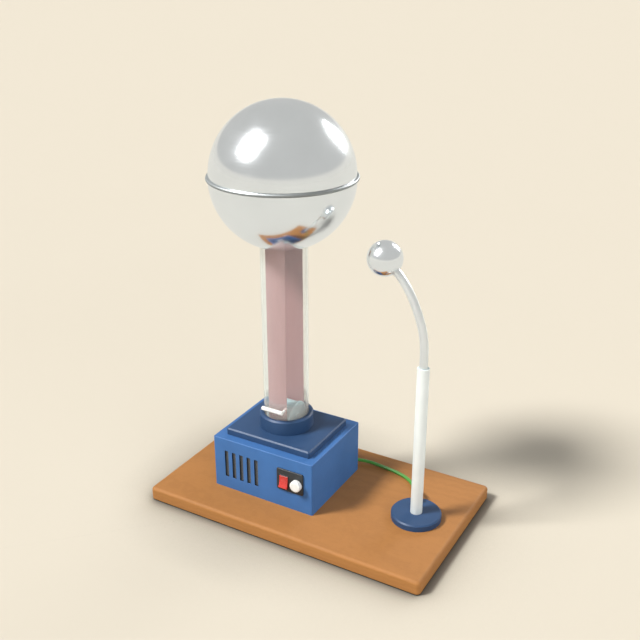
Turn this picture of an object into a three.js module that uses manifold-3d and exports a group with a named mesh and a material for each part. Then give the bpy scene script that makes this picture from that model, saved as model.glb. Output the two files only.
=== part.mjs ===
// Electrostatic belt generator (van de Graaff) with a discharge ball on a post,
// both on one wooden board.
//
// Millimetres, +Z up. The origin is on the table, under the middle of the board.
// +X runs along the board towards the discharge ball, -Y is the front of the housing.

import * as THREE from 'three';
import { mergeVertices } from 'three/addons/utils/BufferGeometryUtils.js';
import Module from 'manifold-3d';

// ---------------------------------------------------------------- dimensions

// board and its feet
const BOARD_X = 249.0;          // half length
const BOARD_Y = 145.0;          // half width
const BOARD_Z0 = 1.8;           // underside, on the rubber feet
const BOARD_Z1 = 24.0;          // top
const BOARD_CORNER = 7.0;
const BOARD_EDGE = 5.5;         // rounding of the upper edge
const FOOT_R = 11.0;
const FOOT_INSET = 24.0;

// housing
const HX0 = -159.2, HX1 = 31.3;
const HY0 = -79.9, HY1 = 80.8;
const HZ0 = BOARD_Z1, HZ1 = 118.0;
const WALL = 3.0;
const BOSS_R = 5.5;
const BOSS_INSET = 8.0;         // boss centre from the inner wall
const CHASSIS_T = 3.0;

// screws
const SCREW_R = 2.1, SCREW_CLEAR = 2.6, SCREW_PILOT = 2.4;
const SCREW_HEAD_R = 4.8, SCREW_SINK_R = 5.4, SCREW_SINK_Z = 11.0;

// top plate, collar and column
const PX0 = -143.0, PX1 = 17.0, PY0 = -64.7, PY1 = 61.7, PZ1 = 130.0;
const AX = -64.6, AY = 0.5;     // column axis
const COLLAR_R = 44.9, COLLAR_Z1 = 155.0;
const TUBE_R = 37.6, TUBE_IN = 35.4, TUBE_Z1 = 532.0;

// belt and rollers
const ROLLER_R = 26.0, ROLLER_HALF = 22.0;
const LOWER_Z = 146.0, UPPER_Z = 520.0;
const BELT_IN = 26.3, BELT_T = 1.0, BELT_HALF = 17.4;
const AXLE_R = 4.0, AXLE_BORE = 4.35;

// motor and its drive ring
const MOTOR_Z = 60.0, MOTOR_R = 23.0;
const DRIVE_X = AX - 26.5;      // plane of the drive ring
const RING_R = 1.5;             // half thickness of the drive ring
const PULLEY_BIG = 12.0, PULLEY_SMALL = 7.0;   // groove radii

// dome
const DOME_Z = 556.0, DOME_R = 112.0, DOME_T = 1.2;      // upper half
const BOWL_Z = 553.6, BOWL_R = 112.8;                     // lower half
const MOUTH_R = 38.3;
const BEAD_Z = 553.5, BEAD_R = 2.9, BEAD_RING = 113.1;
const ROUND = 32;               // sides of everything round on the column

// comb rod
const COMB_Y = -43.2, COMB_Z = 173.5, COMB_R = 3.5;
const COMB_X0 = -84.5, COMB_X1 = -46.8;
const STUB_R = 1.9;

// front panel
const PANEL_X0 = -33.8, PANEL_X1 = 15.6, PANEL_Z0 = 57.5, PANEL_Z1 = 96.6;
const PANEL_Y = HY0 - 2.4;
const ROCK_X = -20.3, ROCK_Z = 73.8, ROCK_Y = -80.5;   // rocker pivot
const ROCK_HALF_W = 7.8, ROCK_HALF_H = 10.4, ROCK_TILT = 9.6;
const POCKET_W = 8.2, CASE_W = 9.2, CASE_HOLE_W = 9.5;   // half widths round the rocker
const KNOB_X = 5.0, KNOB_Z = 76.3, KNOB_R = 9.6;

// rear face
const INLET_X = -60.0, INLET_Z = 62.0;
const TERM_X = -14.0, TERM_Z = 50.0;

// discharge ball on its post
const WX = 177.8, WY = 1.0;
const WFOOT_R = 40.6, WFOOT_Z1 = 35.2;
const POST_R = 9.6, POST_IN = 7.9, POST_Z0 = 27.2, POST_Z1 = 292.0;
const ARM_R = 6.4, ARM_Z0 = 262.4;
const BALL = [108.8, 1.0, 453.0], BALL_R = 27.0;
const WTERM = [169.0, 28.0];

// green lead
const LEAD_R = 2.9;

// ------------------------------------------------------------------ materials

const colour = {
  wood: [0xb9804c, 0.55, 0.0],
  rubber: [0x2a2a2c, 0.85, 0.0],
  blue: [0x3f6fb0, 0.45, 0.1],
  navy: [0x2f4a72, 0.4, 0.15],
  clear: [0xe4eef0, 0.1, 0.0],
  beltpink: [0xd9a7a2, 0.8, 0.0],
  steel: [0x9aa0a4, 0.35, 0.9],
  zinc: [0xb6b9bb, 0.4, 0.8],
  alu: [0xd0d3d4, 0.2, 1.0],
  ring: [0x6c7276, 0.35, 0.9],
  nylon: [0xdfe6e2, 0.5, 0.0],
  white: [0xf4f3ee, 0.4, 0.0],
  black: [0x26282b, 0.5, 0.0],
  red: [0xd6362f, 0.4, 0.0],
  brass: [0xc9a24a, 0.35, 0.9],
  green: [0x2f9a48, 0.5, 0.0],
  copper: [0xb9734a, 0.4, 0.9],
  pcb: [0x2c6b45, 0.6, 0.0],
  motor: [0x555a60, 0.4, 0.8],
};

function material(name) {
  const [c, roughness, metalness] = colour[name];
  const m = new THREE.MeshStandardMaterial({ color: c, roughness, metalness, flatShading: true });
  if (name === 'clear') { m.transparent = true; m.opacity = 0.35; }
  return m;
}

// -------------------------------------------------------------------- helpers

const wasm = await Module();
wasm.setup();

// shared vertices merged, collapsed triangles dropped, faces pointing out
function clean(geometry) {
  const bare = new THREE.BufferGeometry();
  bare.setAttribute('position', geometry.getAttribute('position').clone());
  if (geometry.index) bare.setIndex(geometry.index.clone());
  const merged = mergeVertices(bare, 1e-4);
  const p = merged.getAttribute('position').array;
  const keep = [];
  let six = 0;
  const src = merged.index.array;
  for (let i = 0; i < src.length; i += 3) {
    const a = src[i], b = src[i + 1], c = src[i + 2];
    if (a === b || b === c || c === a) continue;
    keep.push(a, b, c);
    const [ax, ay, az] = [p[3 * a], p[3 * a + 1], p[3 * a + 2]];
    const [bx, by, bz] = [p[3 * b], p[3 * b + 1], p[3 * b + 2]];
    const [cx, cy, cz] = [p[3 * c], p[3 * c + 1], p[3 * c + 2]];
    six += ax * (by * cz - bz * cy) + ay * (bz * cx - bx * cz) + az * (bx * cy - by * cx);
  }
  if (six < 0) for (let i = 0; i < keep.length; i += 3) [keep[i + 1], keep[i + 2]] = [keep[i + 2], keep[i + 1]];
  merged.setIndex(keep);
  return merged;
}

function toSolid(geometry) {
  const g = clean(geometry);
  return new wasm.Manifold(new wasm.Mesh({
    numProp: 3,
    vertProperties: new Float32Array(g.getAttribute('position').array),
    triVerts: new Uint32Array(g.index.array),
  }));
}

function fromSolid(solid) {
  const m = solid.getMesh();
  const g = new THREE.BufferGeometry();
  g.setAttribute('position', new THREE.BufferAttribute(new Float32Array(m.vertProperties), 3));
  g.setIndex(new THREE.BufferAttribute(new Uint32Array(m.triVerts), 1));
  return g;
}

function cut(geometry, ...tools) {
  let s = toSolid(geometry);
  for (const t of tools) s = s.subtract(toSolid(t));
  return fromSolid(s);
}

function join(geometry, ...others) {
  let s = toSolid(geometry);
  for (const t of others) s = s.add(toSolid(t));
  return fromSolid(s);
}

function common(a, b) {
  return fromSolid(toSolid(a).intersect(toSolid(b)));
}

// profile points are [radius, height]; the axis is x, y or z through (cx, cy, cz)
function turned(profile, n, axis = 'z', c = [0, 0, 0]) {
  const g = new THREE.LatheGeometry(profile.map(([r, h]) => new THREE.Vector2(r, h)), n);
  if (axis === 'z') g.rotateX(Math.PI / 2);
  if (axis === 'x') g.rotateZ(-Math.PI / 2);
  g.translate(...c);
  return g;
}

function rod(r, h0, h1, n, axis, c, chamfer = 0) {
  const k = chamfer;
  const profile = k > 0
    ? [[0, h0], [r - k, h0], [r, h0 + k], [r, h1 - k], [r - k, h1], [0, h1]]
    : [[0, h0], [r, h0], [r, h1], [0, h1]];
  return turned(profile, n, axis, c);
}

function pipe(rIn, rOut, h0, h1, n, axis, c) {
  return turned([[rIn, h0], [rOut, h0], [rOut, h1], [rIn, h1], [rIn, h0]], n, axis, c);
}

// a rod between two points in space
function bar(a, b, r, n, extra = 0) {
  const A = new THREE.Vector3(...a), B = new THREE.Vector3(...b);
  const d = B.clone().sub(A);
  const len = d.length() + 2 * extra;
  const g = new THREE.CylinderGeometry(r, r, len, n);
  g.applyQuaternion(new THREE.Quaternion().setFromUnitVectors(new THREE.Vector3(0, 1, 0), d.normalize()));
  const m = A.add(B).multiplyScalar(0.5);
  g.translate(m.x, m.y, m.z);
  return g;
}

function circle(cx, cy, r, n, turn = 0) {
  const pts = [];
  for (let i = 0; i < n; i++) {
    const a = 2 * Math.PI * (i + turn) / n;
    pts.push(new THREE.Vector2(cx + r * Math.cos(a), cy + r * Math.sin(a)));
  }
  return pts;
}

function roundRect(x0, x1, y0, y1, r, n) {
  const pts = [];
  const corners = [[x1 - r, y1 - r, 0], [x0 + r, y1 - r, 1], [x0 + r, y0 + r, 2], [x1 - r, y0 + r, 3]];
  for (const [cx, cy, q] of corners) {
    for (let i = 0; i <= n; i++) {
      const a = Math.PI / 2 * (q + i / n);
      pts.push(new THREE.Vector2(cx + r * Math.cos(a), cy + r * Math.sin(a)));
    }
  }
  return pts;
}

function rect(x0, x1, y0, y1) {
  return [[x0, y0], [x1, y0], [x1, y1], [x0, y1]].map(([x, y]) => new THREE.Vector2(x, y));
}

// an outline with holes, drawn on the plane across the axis and pushed from h0 to h1.
// axis z: (x, y); axis y: (x, z); axis x: (y, z)
function pushed(outline, holes, h0, h1, axis = 'z', edge = 0, steps = 1) {
  const s = new THREE.Shape(outline);
  for (const h of holes) s.holes.push(new THREE.Path(h));
  const g = new THREE.ExtrudeGeometry(s, {
    depth: h1 - h0 - 2 * edge,
    bevelEnabled: edge > 0,
    bevelThickness: edge,
    bevelSize: edge,
    bevelOffset: -edge,
    bevelSegments: steps,
    steps: 1,
  });
  g.translate(0, 0, h0 + edge);
  if (axis === 'y') { g.scale(1, 1, -1); g.rotateX(Math.PI / 2); }
  if (axis === 'x') {
    g.applyMatrix4(new THREE.Matrix4().makeBasis(
      new THREE.Vector3(0, 1, 0), new THREE.Vector3(0, 0, 1), new THREE.Vector3(1, 0, 0)));
  }
  return g;
}

function block(x0, x1, y0, y1, z0, z1) {
  const g = new THREE.BoxGeometry(x1 - x0, y1 - y0, z1 - z0);
  g.translate((x0 + x1) / 2, (y0 + y1) / 2, (z0 + z1) / 2);
  return g;
}

// a round section carried along a smooth curve through the points
function swept(points, r, sides, steps) {
  const curve = new THREE.CatmullRomCurve3(points.map(p => new THREE.Vector3(...p)), false, 'centripetal');
  return new THREE.ExtrudeGeometry(new THREE.Shape(circle(0, 0, r, sides)), {
    steps, extrudePath: curve, bevelEnabled: false,
  });
}

const object = new THREE.Group();
object.name = 'van_de_graaff_generator';

function place(name, geometry, look, parent = object) {
  const mesh = new THREE.Mesh(clean(geometry), material(look));
  mesh.name = name;
  parent.add(mesh);
  return mesh;
}

// ------------------------------------------------------------ board and feet

const bossX = [HX0 + WALL + BOSS_INSET, HX1 - WALL - BOSS_INSET];
const bossY = [HY0 + WALL + BOSS_INSET, HY1 - WALL - BOSS_INSET];
const bosses = [[bossX[0], bossY[0]], [bossX[1], bossY[0]], [bossX[0], bossY[1]], [bossX[1], bossY[1]]];

const screwHoles = [...bosses, [WX, WY]];
const boardLine = roundRect(-BOARD_X, BOARD_X, -BOARD_Y, BOARD_Y, BOARD_CORNER, 3);
place('base_board', cut(
  common(pushed(boardLine, [], BOARD_Z0 - 12, BOARD_Z1, 'z', BOARD_EDGE, 3), pushed(boardLine, [], BOARD_Z0, BOARD_Z1 + 12, 'z', 1.2, 1)),
  ...screwHoles.map(([x, y]) => join(
    rod(SCREW_CLEAR, 0, 30, 8, 'z', [x, y, 0]),
    rod(SCREW_SINK_R, 0, SCREW_SINK_Z, 12, 'z', [x, y, 0]))),
), 'wood');

const footSpots = {
  foot_front_left: [-1, -1], foot_front_right: [1, -1], foot_rear_left: [-1, 1], foot_rear_right: [1, 1],
};
for (const [name, [sx, sy]] of Object.entries(footSpots)) {
  place(name, turned([[0, 0], [FOOT_R - 0.8, 0], [FOOT_R, 0.8], [FOOT_R, BOARD_Z0], [0, BOARD_Z0]], 16, 'z',
    [sx * (BOARD_X - FOOT_INSET), sy * (BOARD_Y - FOOT_INSET), 0]), 'rubber');
}

// -------------------------------------------------------------------- housing

// chassis plate with four stand-offs for the control board
const CB = { x0: -42, x1: 8, y0: -66, y1: -30, z: 37.0, t: 1.6 };
const standoffs = [[CB.x0 + 4, CB.y0 + 4], [CB.x1 - 4, CB.y0 + 4], [CB.x0 + 4, CB.y1 - 4], [CB.x1 - 4, CB.y1 - 4]];
const cz1 = HZ0 + CHASSIS_T;
place('chassis_plate', join(
  cut(pushed(roundRect(HX0 + WALL + 0.6, HX1 - WALL - 0.6, HY0 + WALL + 0.6, HY1 - WALL - 0.6, 3, 2), [], HZ0, cz1),
    ...bosses.map(([x, y]) => rod(SCREW_CLEAR, HZ0 - 2, cz1 + 2, 8, 'z', [x, y, 0]))),
  ...standoffs.map(([x, y]) => rod(2.6, cz1 - 1, CB.z - 0.3, 8, 'z', [x, y, 0]))), 'zinc');

const ventX = [0, 1, 2, 3, 4].map(i => -137.7 + 14.66 * i);
const rearVentX = [0, 1, 2, 3].map(i => -142 + 14.66 * i);
const shellOuter = cut(
  pushed(roundRect(HX0, HX1, HY0, HY1, 2.4, 2), [], HZ0 - 6, HZ1, 'z', 1.3, 2),
  block(HX0 - 5, HX1 + 5, HY0 - 5, HY1 + 5, HZ0 - 20, HZ0));
const shellHollow = pushed(roundRect(HX0 + WALL, HX1 - WALL, HY0 + WALL, HY1 - WALL, 2, 1), [], HZ0 - 2, HZ1 - WALL);
place('housing_shell', cut(
  join(cut(shellOuter, shellHollow),
    ...bosses.map(([x, y]) => rod(BOSS_R, cz1 + 0.3, HZ1 - WALL + 1, 10, 'z', [x, y, 0]))),
  ...bosses.map(([x, y]) => rod(SCREW_PILOT, cz1 - 3, 66, 8, 'z', [x, y, 0])),
  ...ventX.map(x => block(x, x + 7.0, HY0 - 2, HY0 + WALL + 1, 46.0, 95.2)),
  ...rearVentX.map(x => block(x, x + 6.4, HY1 - WALL - 1, HY1 + 2, 46.0, 95.2)),
  rod(36.6, HZ1 - 10, HZ1 + 5, ROUND, 'z', [AX, AY, 0]),
  block(ROCK_X - CASE_HOLE_W, ROCK_X + CASE_HOLE_W, HY0 - 2, HY0 + WALL + 1, ROCK_Z - 12.8, ROCK_Z + 12.8),
  rod(5.1, HY0 - 2, HY0 + WALL + 1, 14, 'y', [KNOB_X, 0, KNOB_Z]),
  block(INLET_X - 15.4, INLET_X + 15.4, HY1 - WALL - 1, HY1 + 2, INLET_Z - 11.4, INLET_Z + 11.4),
  rod(6.4, HY1 - WALL - 1, HY1 + 2, 14, 'y', [TERM_X, 0, TERM_Z]),
), 'blue');

// foam pad behind the front slots
place('vent_filter', block(-139.4, -70.0, HY0 + WALL, HY0 + WALL + 2, 43.5, 97.5), 'rubber');

place('top_plate', cut(
  pushed(roundRect(PX0, PX1, PY0, PY1, 3, 2), [], HZ1, PZ1, 'z', 2.0, 1),
  rod(TUBE_IN, HZ1 - 5, PZ1 + 5, ROUND, 'z', [AX, AY, 0])), 'navy');

place('column_collar', turned([
  [TUBE_R + 0.3, PZ1], [COLLAR_R, PZ1], [COLLAR_R, COLLAR_Z1 - 2.6], [COLLAR_R - 0.9, COLLAR_Z1 - 0.9],
  [COLLAR_R - 2.6, COLLAR_Z1], [TUBE_R + 1.3, COLLAR_Z1], [TUBE_R + 0.3, COLLAR_Z1 - 1], [TUBE_R + 0.3, PZ1],
], ROUND, 'z', [AX, AY, 0]), 'navy');

// --------------------------------------------------------- comb rod and column

const stubA = [COMB_X1, COMB_Y, COMB_Z];
const stubB = [COMB_X1 + 0.5, -29.9, COMB_Z + 1.8];
const stubAt = t => stubA.map((v, i) => v + (stubB[i] - v) * t);

place('comb_rod', join(
  rod(COMB_R, COMB_X0, COMB_X1 + 1.6, 12, 'x', [0, COMB_Y, COMB_Z], 0.8),
  bar(stubA, stubB, STUB_R, 8)), 'white');
place('comb_grommet', cut(
  bar(stubAt(0.55), stubAt(0.94), 2.9, 10),
  bar(stubAt(0.2), stubAt(1.3), STUB_R + 0.3, 8)), 'nylon');

place('column_tube', cut(
  pipe(TUBE_IN, TUBE_R, PZ1, TUBE_Z1, ROUND, 'z', [AX, AY, 0]),
  bar(stubAt(0.3), stubAt(1.2), 3.2, 10),
  ...[-1, 1].map(s => join(
    rod(4.35, 0, 14, 12, 'x', [AX + (s > 0 ? 30 : -44), AY, UPPER_Z]),
    block(AX + (s > 0 ? 30 : -44), AX + (s > 0 ? 44 : -30), AY - 4.35, AY + 4.35, UPPER_Z, TUBE_Z1 + 5)))), 'clear');

// ------------------------------------------------------------ belt and rollers

function loop(cy, zLow, rLow, zHigh, rHigh, n) {
  // outline of a belt round two circles, the higher circle first
  const out = [];
  const lean = Math.asin((rHigh - rLow) / (zHigh - zLow));
  for (let i = 0; i <= n; i++) {
    const a = -lean + (Math.PI + 2 * lean) * i / n;
    out.push(new THREE.Vector2(cy + rHigh * Math.cos(a), zHigh + rHigh * Math.sin(a)));
  }
  for (let i = 0; i <= n; i++) {
    const a = Math.PI + lean + (Math.PI - 2 * lean) * i / n;
    out.push(new THREE.Vector2(cy + rLow * Math.cos(a), zLow + rLow * Math.sin(a)));
  }
  return out;
}

place('belt', pushed(
  loop(AY, LOWER_Z, BELT_IN + BELT_T, UPPER_Z, BELT_IN + BELT_T, 16),
  [loop(AY, LOWER_Z, BELT_IN, UPPER_Z, BELT_IN, 16).reverse()],
  AX - BELT_HALF, AX + BELT_HALF, 'x'), 'beltpink');

// the lower roller turns on a stub axle, has a rim at both ends that keeps the
// belt on it, and carries its own driven pulley
place('lower_roller', turned([
  [0, ROLLER_HALF], [26.6, ROLLER_HALF], [27.8, 20.8], [27.8, 18.5], [25.6, 18.4], [ROLLER_R, 7], [ROLLER_R, -7],
  [25.6, -18.4], [27.8, -18.5], [27.8, -20.8], [26.6, -ROLLER_HALF], [13.5, -ROLLER_HALF], [13.5, -22.8], [15.5, -23.0],
  [15.5, -23.6], [PULLEY_BIG, -24.6], [PULLEY_BIG, -28.4], [15.5, -29.4], [15.5, -30.0], [AXLE_BORE, -30.0],
  [AXLE_BORE, 17], [0, 17],
], 20, 'x', [AX, AY, LOWER_Z]), 'nylon');
place('lower_axle', rod(AXLE_R, -34.0, 16.0, 12, 'x', [AX, AY, LOWER_Z]), 'steel');

place('upper_roller', turned([
  [AXLE_BORE, ROLLER_HALF], [24.4, ROLLER_HALF], [25.5, ROLLER_HALF - 1.1], [ROLLER_R, 7], [ROLLER_R, -7],
  [25.5, -ROLLER_HALF + 1.1], [24.4, -ROLLER_HALF], [AXLE_BORE, -ROLLER_HALF], [AXLE_BORE, ROLLER_HALF],
], 20, 'x', [AX, AY, UPPER_Z]), 'nylon');
place('upper_axle', rod(AXLE_R, -43.0, 43.0, 12, 'x', [AX, AY, UPPER_Z]), 'steel');

// bracket that carries the lower roller: a foot on the chassis, an upright that
// narrows to pass up inside the column
const bx = AX - 34.0;
const upright = [
  [AY - 20, cz1], [AY + 20, cz1], [AY + 20, 104], [AY + 6.5, 112], [AY + 6.5, LOWER_Z + 4],
  [AY + 4, LOWER_Z + 6.5], [AY - 4, LOWER_Z + 6.5], [AY - 6.5, LOWER_Z + 4], [AY - 6.5, 112], [AY - 20, 104],
].map(([a, b]) => new THREE.Vector2(a, b));
place('roller_bracket', join(
  pushed(upright, [circle(AY, LOWER_Z, AXLE_R + 0.35, 12)], bx, bx + 2.8, 'x'),
  block(bx - 28, bx + 1, AY - 20, AY + 20, cz1, cz1 + 2.8)), 'zinc');

// motor on its own bracket, shaft towards -X
const mb = AX - 15.4;           // front face of the motor bracket
place('motor_bracket', join(
  pushed(roundRect(AY - 26, AY + 26, cz1, MOTOR_Z + 28, 6, 2), [circle(AY, MOTOR_Z, 8.5, 14)], mb, mb + 3, 'x'),
  block(mb + 1, mb + 38, AY - 26, AY + 26, cz1, cz1 + 3)), 'zinc');
place('motor_body', turned([
  [3.4, mb - 1.2], [8, mb - 1.2], [8, mb + 3.3], [MOTOR_R - 1.5, mb + 3.3], [MOTOR_R, mb + 4.8], [MOTOR_R, mb + 62],
  [MOTOR_R - 2, mb + 64], [17, mb + 64], [17, mb + 72], [15, mb + 74], [0, mb + 74], [0, mb + 30], [3.4, mb + 30],
  [3.4, mb - 1.2],
], 18, 'x', [0, AY, MOTOR_Z]), 'motor');
place('motor_shaft', rod(3.0, DRIVE_X - 4.2, mb + 28, 10, 'x', [0, AY, MOTOR_Z]), 'steel');
place('motor_pulley', turned([
  [3.3, -3.4], [10.6, -3.4], [10.6, -2.8], [PULLEY_SMALL, -1.9], [PULLEY_SMALL, 1.9], [10.6, 2.8], [10.6, 3.4],
  [3.3, 3.4], [3.3, -3.4],
], 14, 'x', [DRIVE_X, AY, MOTOR_Z]), 'brass');

const dg = 0.3;                 // ring stands this far off the groove floor
place('drive_ring', pushed(
  loop(AY, MOTOR_Z, PULLEY_SMALL + dg + 2 * RING_R, LOWER_Z, PULLEY_BIG + dg + 2 * RING_R, 10),
  [loop(AY, MOTOR_Z, PULLEY_SMALL + dg, LOWER_Z, PULLEY_BIG + dg, 10).reverse()],
  DRIVE_X - RING_R, DRIVE_X + RING_R, 'x', 0.6, 1), 'rubber');

// ----------------------------------------------------------------------- dome

function arc(centre, R, z0, z1, n) {
  const out = [];
  const a0 = Math.asin((z0 - centre) / R), a1 = Math.asin((z1 - centre) / R);
  for (let i = 0; i <= n; i++) {
    const a = a0 + (a1 - a0) * i / n;
    out.push([Math.max(0, R * Math.cos(a)), centre + R * Math.sin(a)]);
  }
  return out;
}

const domeIn = DOME_R - DOME_T, bowlIn = BOWL_R - DOME_T;
const mouthOut = BOWL_Z - Math.sqrt(BOWL_R ** 2 - MOUTH_R ** 2);
const mouthIn = BOWL_Z - Math.sqrt(bowlIn ** 2 - MOUTH_R ** 2);
const rimLow = BEAD_Z - BEAD_R, rimHigh = BEAD_Z + BEAD_R + 0.1;

const lowerOut = arc(BOWL_Z, BOWL_R, mouthOut, rimLow, 8), lowerIn = arc(BOWL_Z, bowlIn, mouthIn, rimLow, 8);
place('dome_lower', turned([...lowerOut, ...lowerIn.reverse(), lowerOut[0]], ROUND, 'z', [AX, AY, 0]), 'alu');

const upperOut = arc(DOME_Z, DOME_R, rimHigh, DOME_Z + DOME_R, 9), upperIn = arc(DOME_Z, domeIn, rimHigh, DOME_Z + domeIn, 9);
upperOut[upperOut.length - 1][0] = 0;
upperIn[upperIn.length - 1][0] = 0;
place('dome_upper', turned([...upperOut.reverse(), ...upperIn], ROUND, 'z', [AX, AY, 0]), 'alu');

const bead = [-90, -40, 0, 40, 90].map(d => [
  BEAD_RING + BEAD_R * Math.cos(d * Math.PI / 180), BEAD_Z + BEAD_R * Math.sin(d * Math.PI / 180)]);
place('equator_ring', turned([
  [108.7, BEAD_Z - 10], [109.9, BEAD_Z - 10], [109.9, BEAD_Z - BEAD_R], ...bead, [109.9, BEAD_Z + BEAD_R],
  [109.9, BEAD_Z + 10], [108.7, BEAD_Z + 10], [108.7, BEAD_Z - 10],
], ROUND, 'z', [AX, AY, 0]), 'ring');

// ring clamped round the tube that the lower half of the dome sits on
const SEAT_Z0 = 449.8, SEAT_Z1 = 459.0;
const seatR = z => Math.sqrt((bowlIn - 0.6) ** 2 - (BOWL_Z - z) ** 2);
place('dome_seat', turned([
  [TUBE_R + 0.3, SEAT_Z0], [seatR(SEAT_Z0), SEAT_Z0], [seatR(452.4), 452.4], [seatR(455.4), 455.4],
  [seatR(SEAT_Z1), SEAT_Z1], [TUBE_R + 0.3, SEAT_Z1], [TUBE_R + 0.3, SEAT_Z0],
], ROUND, 'z', [AX, AY, 0]), 'zinc');

// strap over the upper roller: stands on the seat, holds the axle and the comb
const sIn = 38.4, sOut = 39.9, sTop = 557.0;
const strap = [
  [-52, SEAT_Z1 + 0.3], [-sIn, SEAT_Z1 + 0.3], [-sIn, sTop - 1.5], [sIn, sTop - 1.5], [sIn, SEAT_Z1 + 0.3],
  [52, SEAT_Z1 + 0.3], [52, SEAT_Z1 + 1.8], [sOut, SEAT_Z1 + 1.8], [sOut, sTop - 1.5], [sOut - 1.5, sTop],
  [-sOut + 1.5, sTop], [-sOut, sTop - 1.5], [-sOut, SEAT_Z1 + 1.8], [-52, SEAT_Z1 + 1.8],
].map(([x, z]) => new THREE.Vector2(AX + x, z));
place('collector_strap', cut(
  pushed(strap, [], AY - 6, AY + 6, 'y'),
  rod(AXLE_R + 0.35, -46, 46, 12, 'x', [AX, AY, UPPER_Z])), 'zinc');

const teeth = [[-16, sTop - 1.8], [-16, 552.0]];
for (let i = 0; i < 8; i++) teeth.push([-14 + 4 * i, 549.7], [-12 + 4 * i, 552.0]);
teeth.push([16, 552.0], [16, sTop - 1.8]);
place('upper_comb', pushed(teeth.map(([x, z]) => new THREE.Vector2(AX + x, z)), [], AY - 1, AY + 1, 'y'), 'brass');

// ---------------------------------------------------------------- front panel

const panelCut = rect(ROCK_X - CASE_HOLE_W, ROCK_X + CASE_HOLE_W, ROCK_Z - 12.8, ROCK_Z + 12.8).reverse();
place('switch_panel', pushed(
  roundRect(PANEL_X0, PANEL_X1, PANEL_Z0, PANEL_Z1, 2.5, 2),
  [panelCut, circle(KNOB_X, KNOB_Z, 5.1, 14).reverse()], PANEL_Y, HY0, 'y'), 'black');

const sb = PANEL_Y - 0.6;       // front of the switch frame
place('switch_body', cut(
  join(block(ROCK_X - CASE_W, ROCK_X + CASE_W, sb, -58, ROCK_Z - 12.5, ROCK_Z + 12.5),
    block(ROCK_X - 3, ROCK_X + 3, -59, -51, ROCK_Z + 5.6, ROCK_Z + 6.4),
    block(ROCK_X - 3, ROCK_X + 3, -59, -51, ROCK_Z - 6.4, ROCK_Z - 5.6)),
  block(ROCK_X - POCKET_W, ROCK_X + POCKET_W, sb - 2, -74, ROCK_Z - 11.5, ROCK_Z + 11.5),
  rod(1.9, ROCK_X - 11, ROCK_X + 11, 10, 'x', [0, ROCK_Y, ROCK_Z])), 'black');

// rocker: two faces that meet in a shallow valley; its upper half is pressed in
const rockerShape = [[10.0, -3.5], [ROCK_HALF_H, 5.2], [0, 3.4], [-ROCK_HALF_H, 5.2], [-10.0, -3.5]]
  .map(([up, out]) => new THREE.Vector2(-out, up));
const rocker = join(
  pushed(rockerShape, [], -ROCK_HALF_W, ROCK_HALF_W, 'x', 0.5, 1),
  rod(1.5, -ROCK_HALF_W - 1.1, ROCK_HALF_W + 1.1, 10, 'x', [0, 0, 0]));
rocker.rotateX(-ROCK_TILT * Math.PI / 180);
rocker.translate(ROCK_X, ROCK_Y, ROCK_Z);
place('rocker', rocker, 'red');

place('speed_pot', turned([
  [3.4, -81.9], [4.7, -81.9], [4.7, -76.6], [8, -76.6], [8, -67.6], [7, -66.6], [0, -66.6], [0, -68], [3.4, -68],
  [3.4, -81.9],
], 14, 'y', [KNOB_X, 0, KNOB_Z]), 'zinc');
place('pot_shaft', rod(3.0, -88.9, -68.4, 10, 'y', [KNOB_X, 0, KNOB_Z]), 'steel');
place('knob', turned([
  [0, -91.6], [KNOB_R - 2.2, -91.6], [KNOB_R - 0.7, -90.9], [KNOB_R, -89.4], [KNOB_R, -83.2], [3.3, -83.2],
  [3.3, -89.2], [0, -89.2],
], 20, 'y', [KNOB_X, 0, KNOB_Z]), 'white');

place('control_board', join(
  block(CB.x0, CB.x1, CB.y0, CB.y1, CB.z, CB.z + CB.t),
  block(CB.x0 + 4, CB.x0 + 20, CB.y1 - 8, CB.y1 - 2, CB.z + 1, CB.z + 10),
  block(CB.x1 - 18, CB.x1 - 6, CB.y1 - 10, CB.y1 - 2, CB.z + 1, CB.z + 9),
  rod(4, CB.z + 1, CB.z + 12, 12, 'z', [CB.x0 + 30, CB.y1 - 9, 0])), 'pcb');

// ------------------------------------------------------------------ rear face

place('power_inlet', join(
  cut(join(
    pushed(roundRect(INLET_X - 23, INLET_X + 23, INLET_Z - 13.5, INLET_Z + 13.5, 4, 2), [], HY1, HY1 + 3, 'y'),
    block(INLET_X - 15, INLET_X + 15, 60, HY1 + 1, INLET_Z - 11, INLET_Z + 11)),
    block(INLET_X - 12.5, INLET_X + 12.5, 66, HY1 + 8, INLET_Z - 8.5, INLET_Z + 8.5)),
  ...[[-7, 1.5], [0, -2.5], [7, 1.5]].map(([x, z]) =>
    block(INLET_X + x - 1, INLET_X + x + 1, 65, 80, INLET_Z + z - 2.5, INLET_Z + z + 2.5)),
  ...[-6, 6].map(x => block(INLET_X + x - 3, INLET_X + x + 3, 53, 61, INLET_Z - 0.4, INLET_Z + 0.4))), 'black');

place('terminal_base', turned([
  [2.8, 76.4], [6.0, 76.4], [6.0, HY1], [9.5, HY1], [9.5, HY1 + 2.4], [8.5, HY1 + 3.4], [2.8, HY1 + 3.4], [2.8, 76.4],
], 14, 'y', [TERM_X, 0, TERM_Z]), 'black');
place('terminal_stud', turned([
  [0, 70], [2.5, 70], [2.5, 71.6], [6.2, 71.6], [6.2, 76.1], [2.5, 76.1], [2.5, 97.2], [1.8, 98], [0, 98],
], 10, 'y', [TERM_X, 0, TERM_Z]), 'brass');

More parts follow.
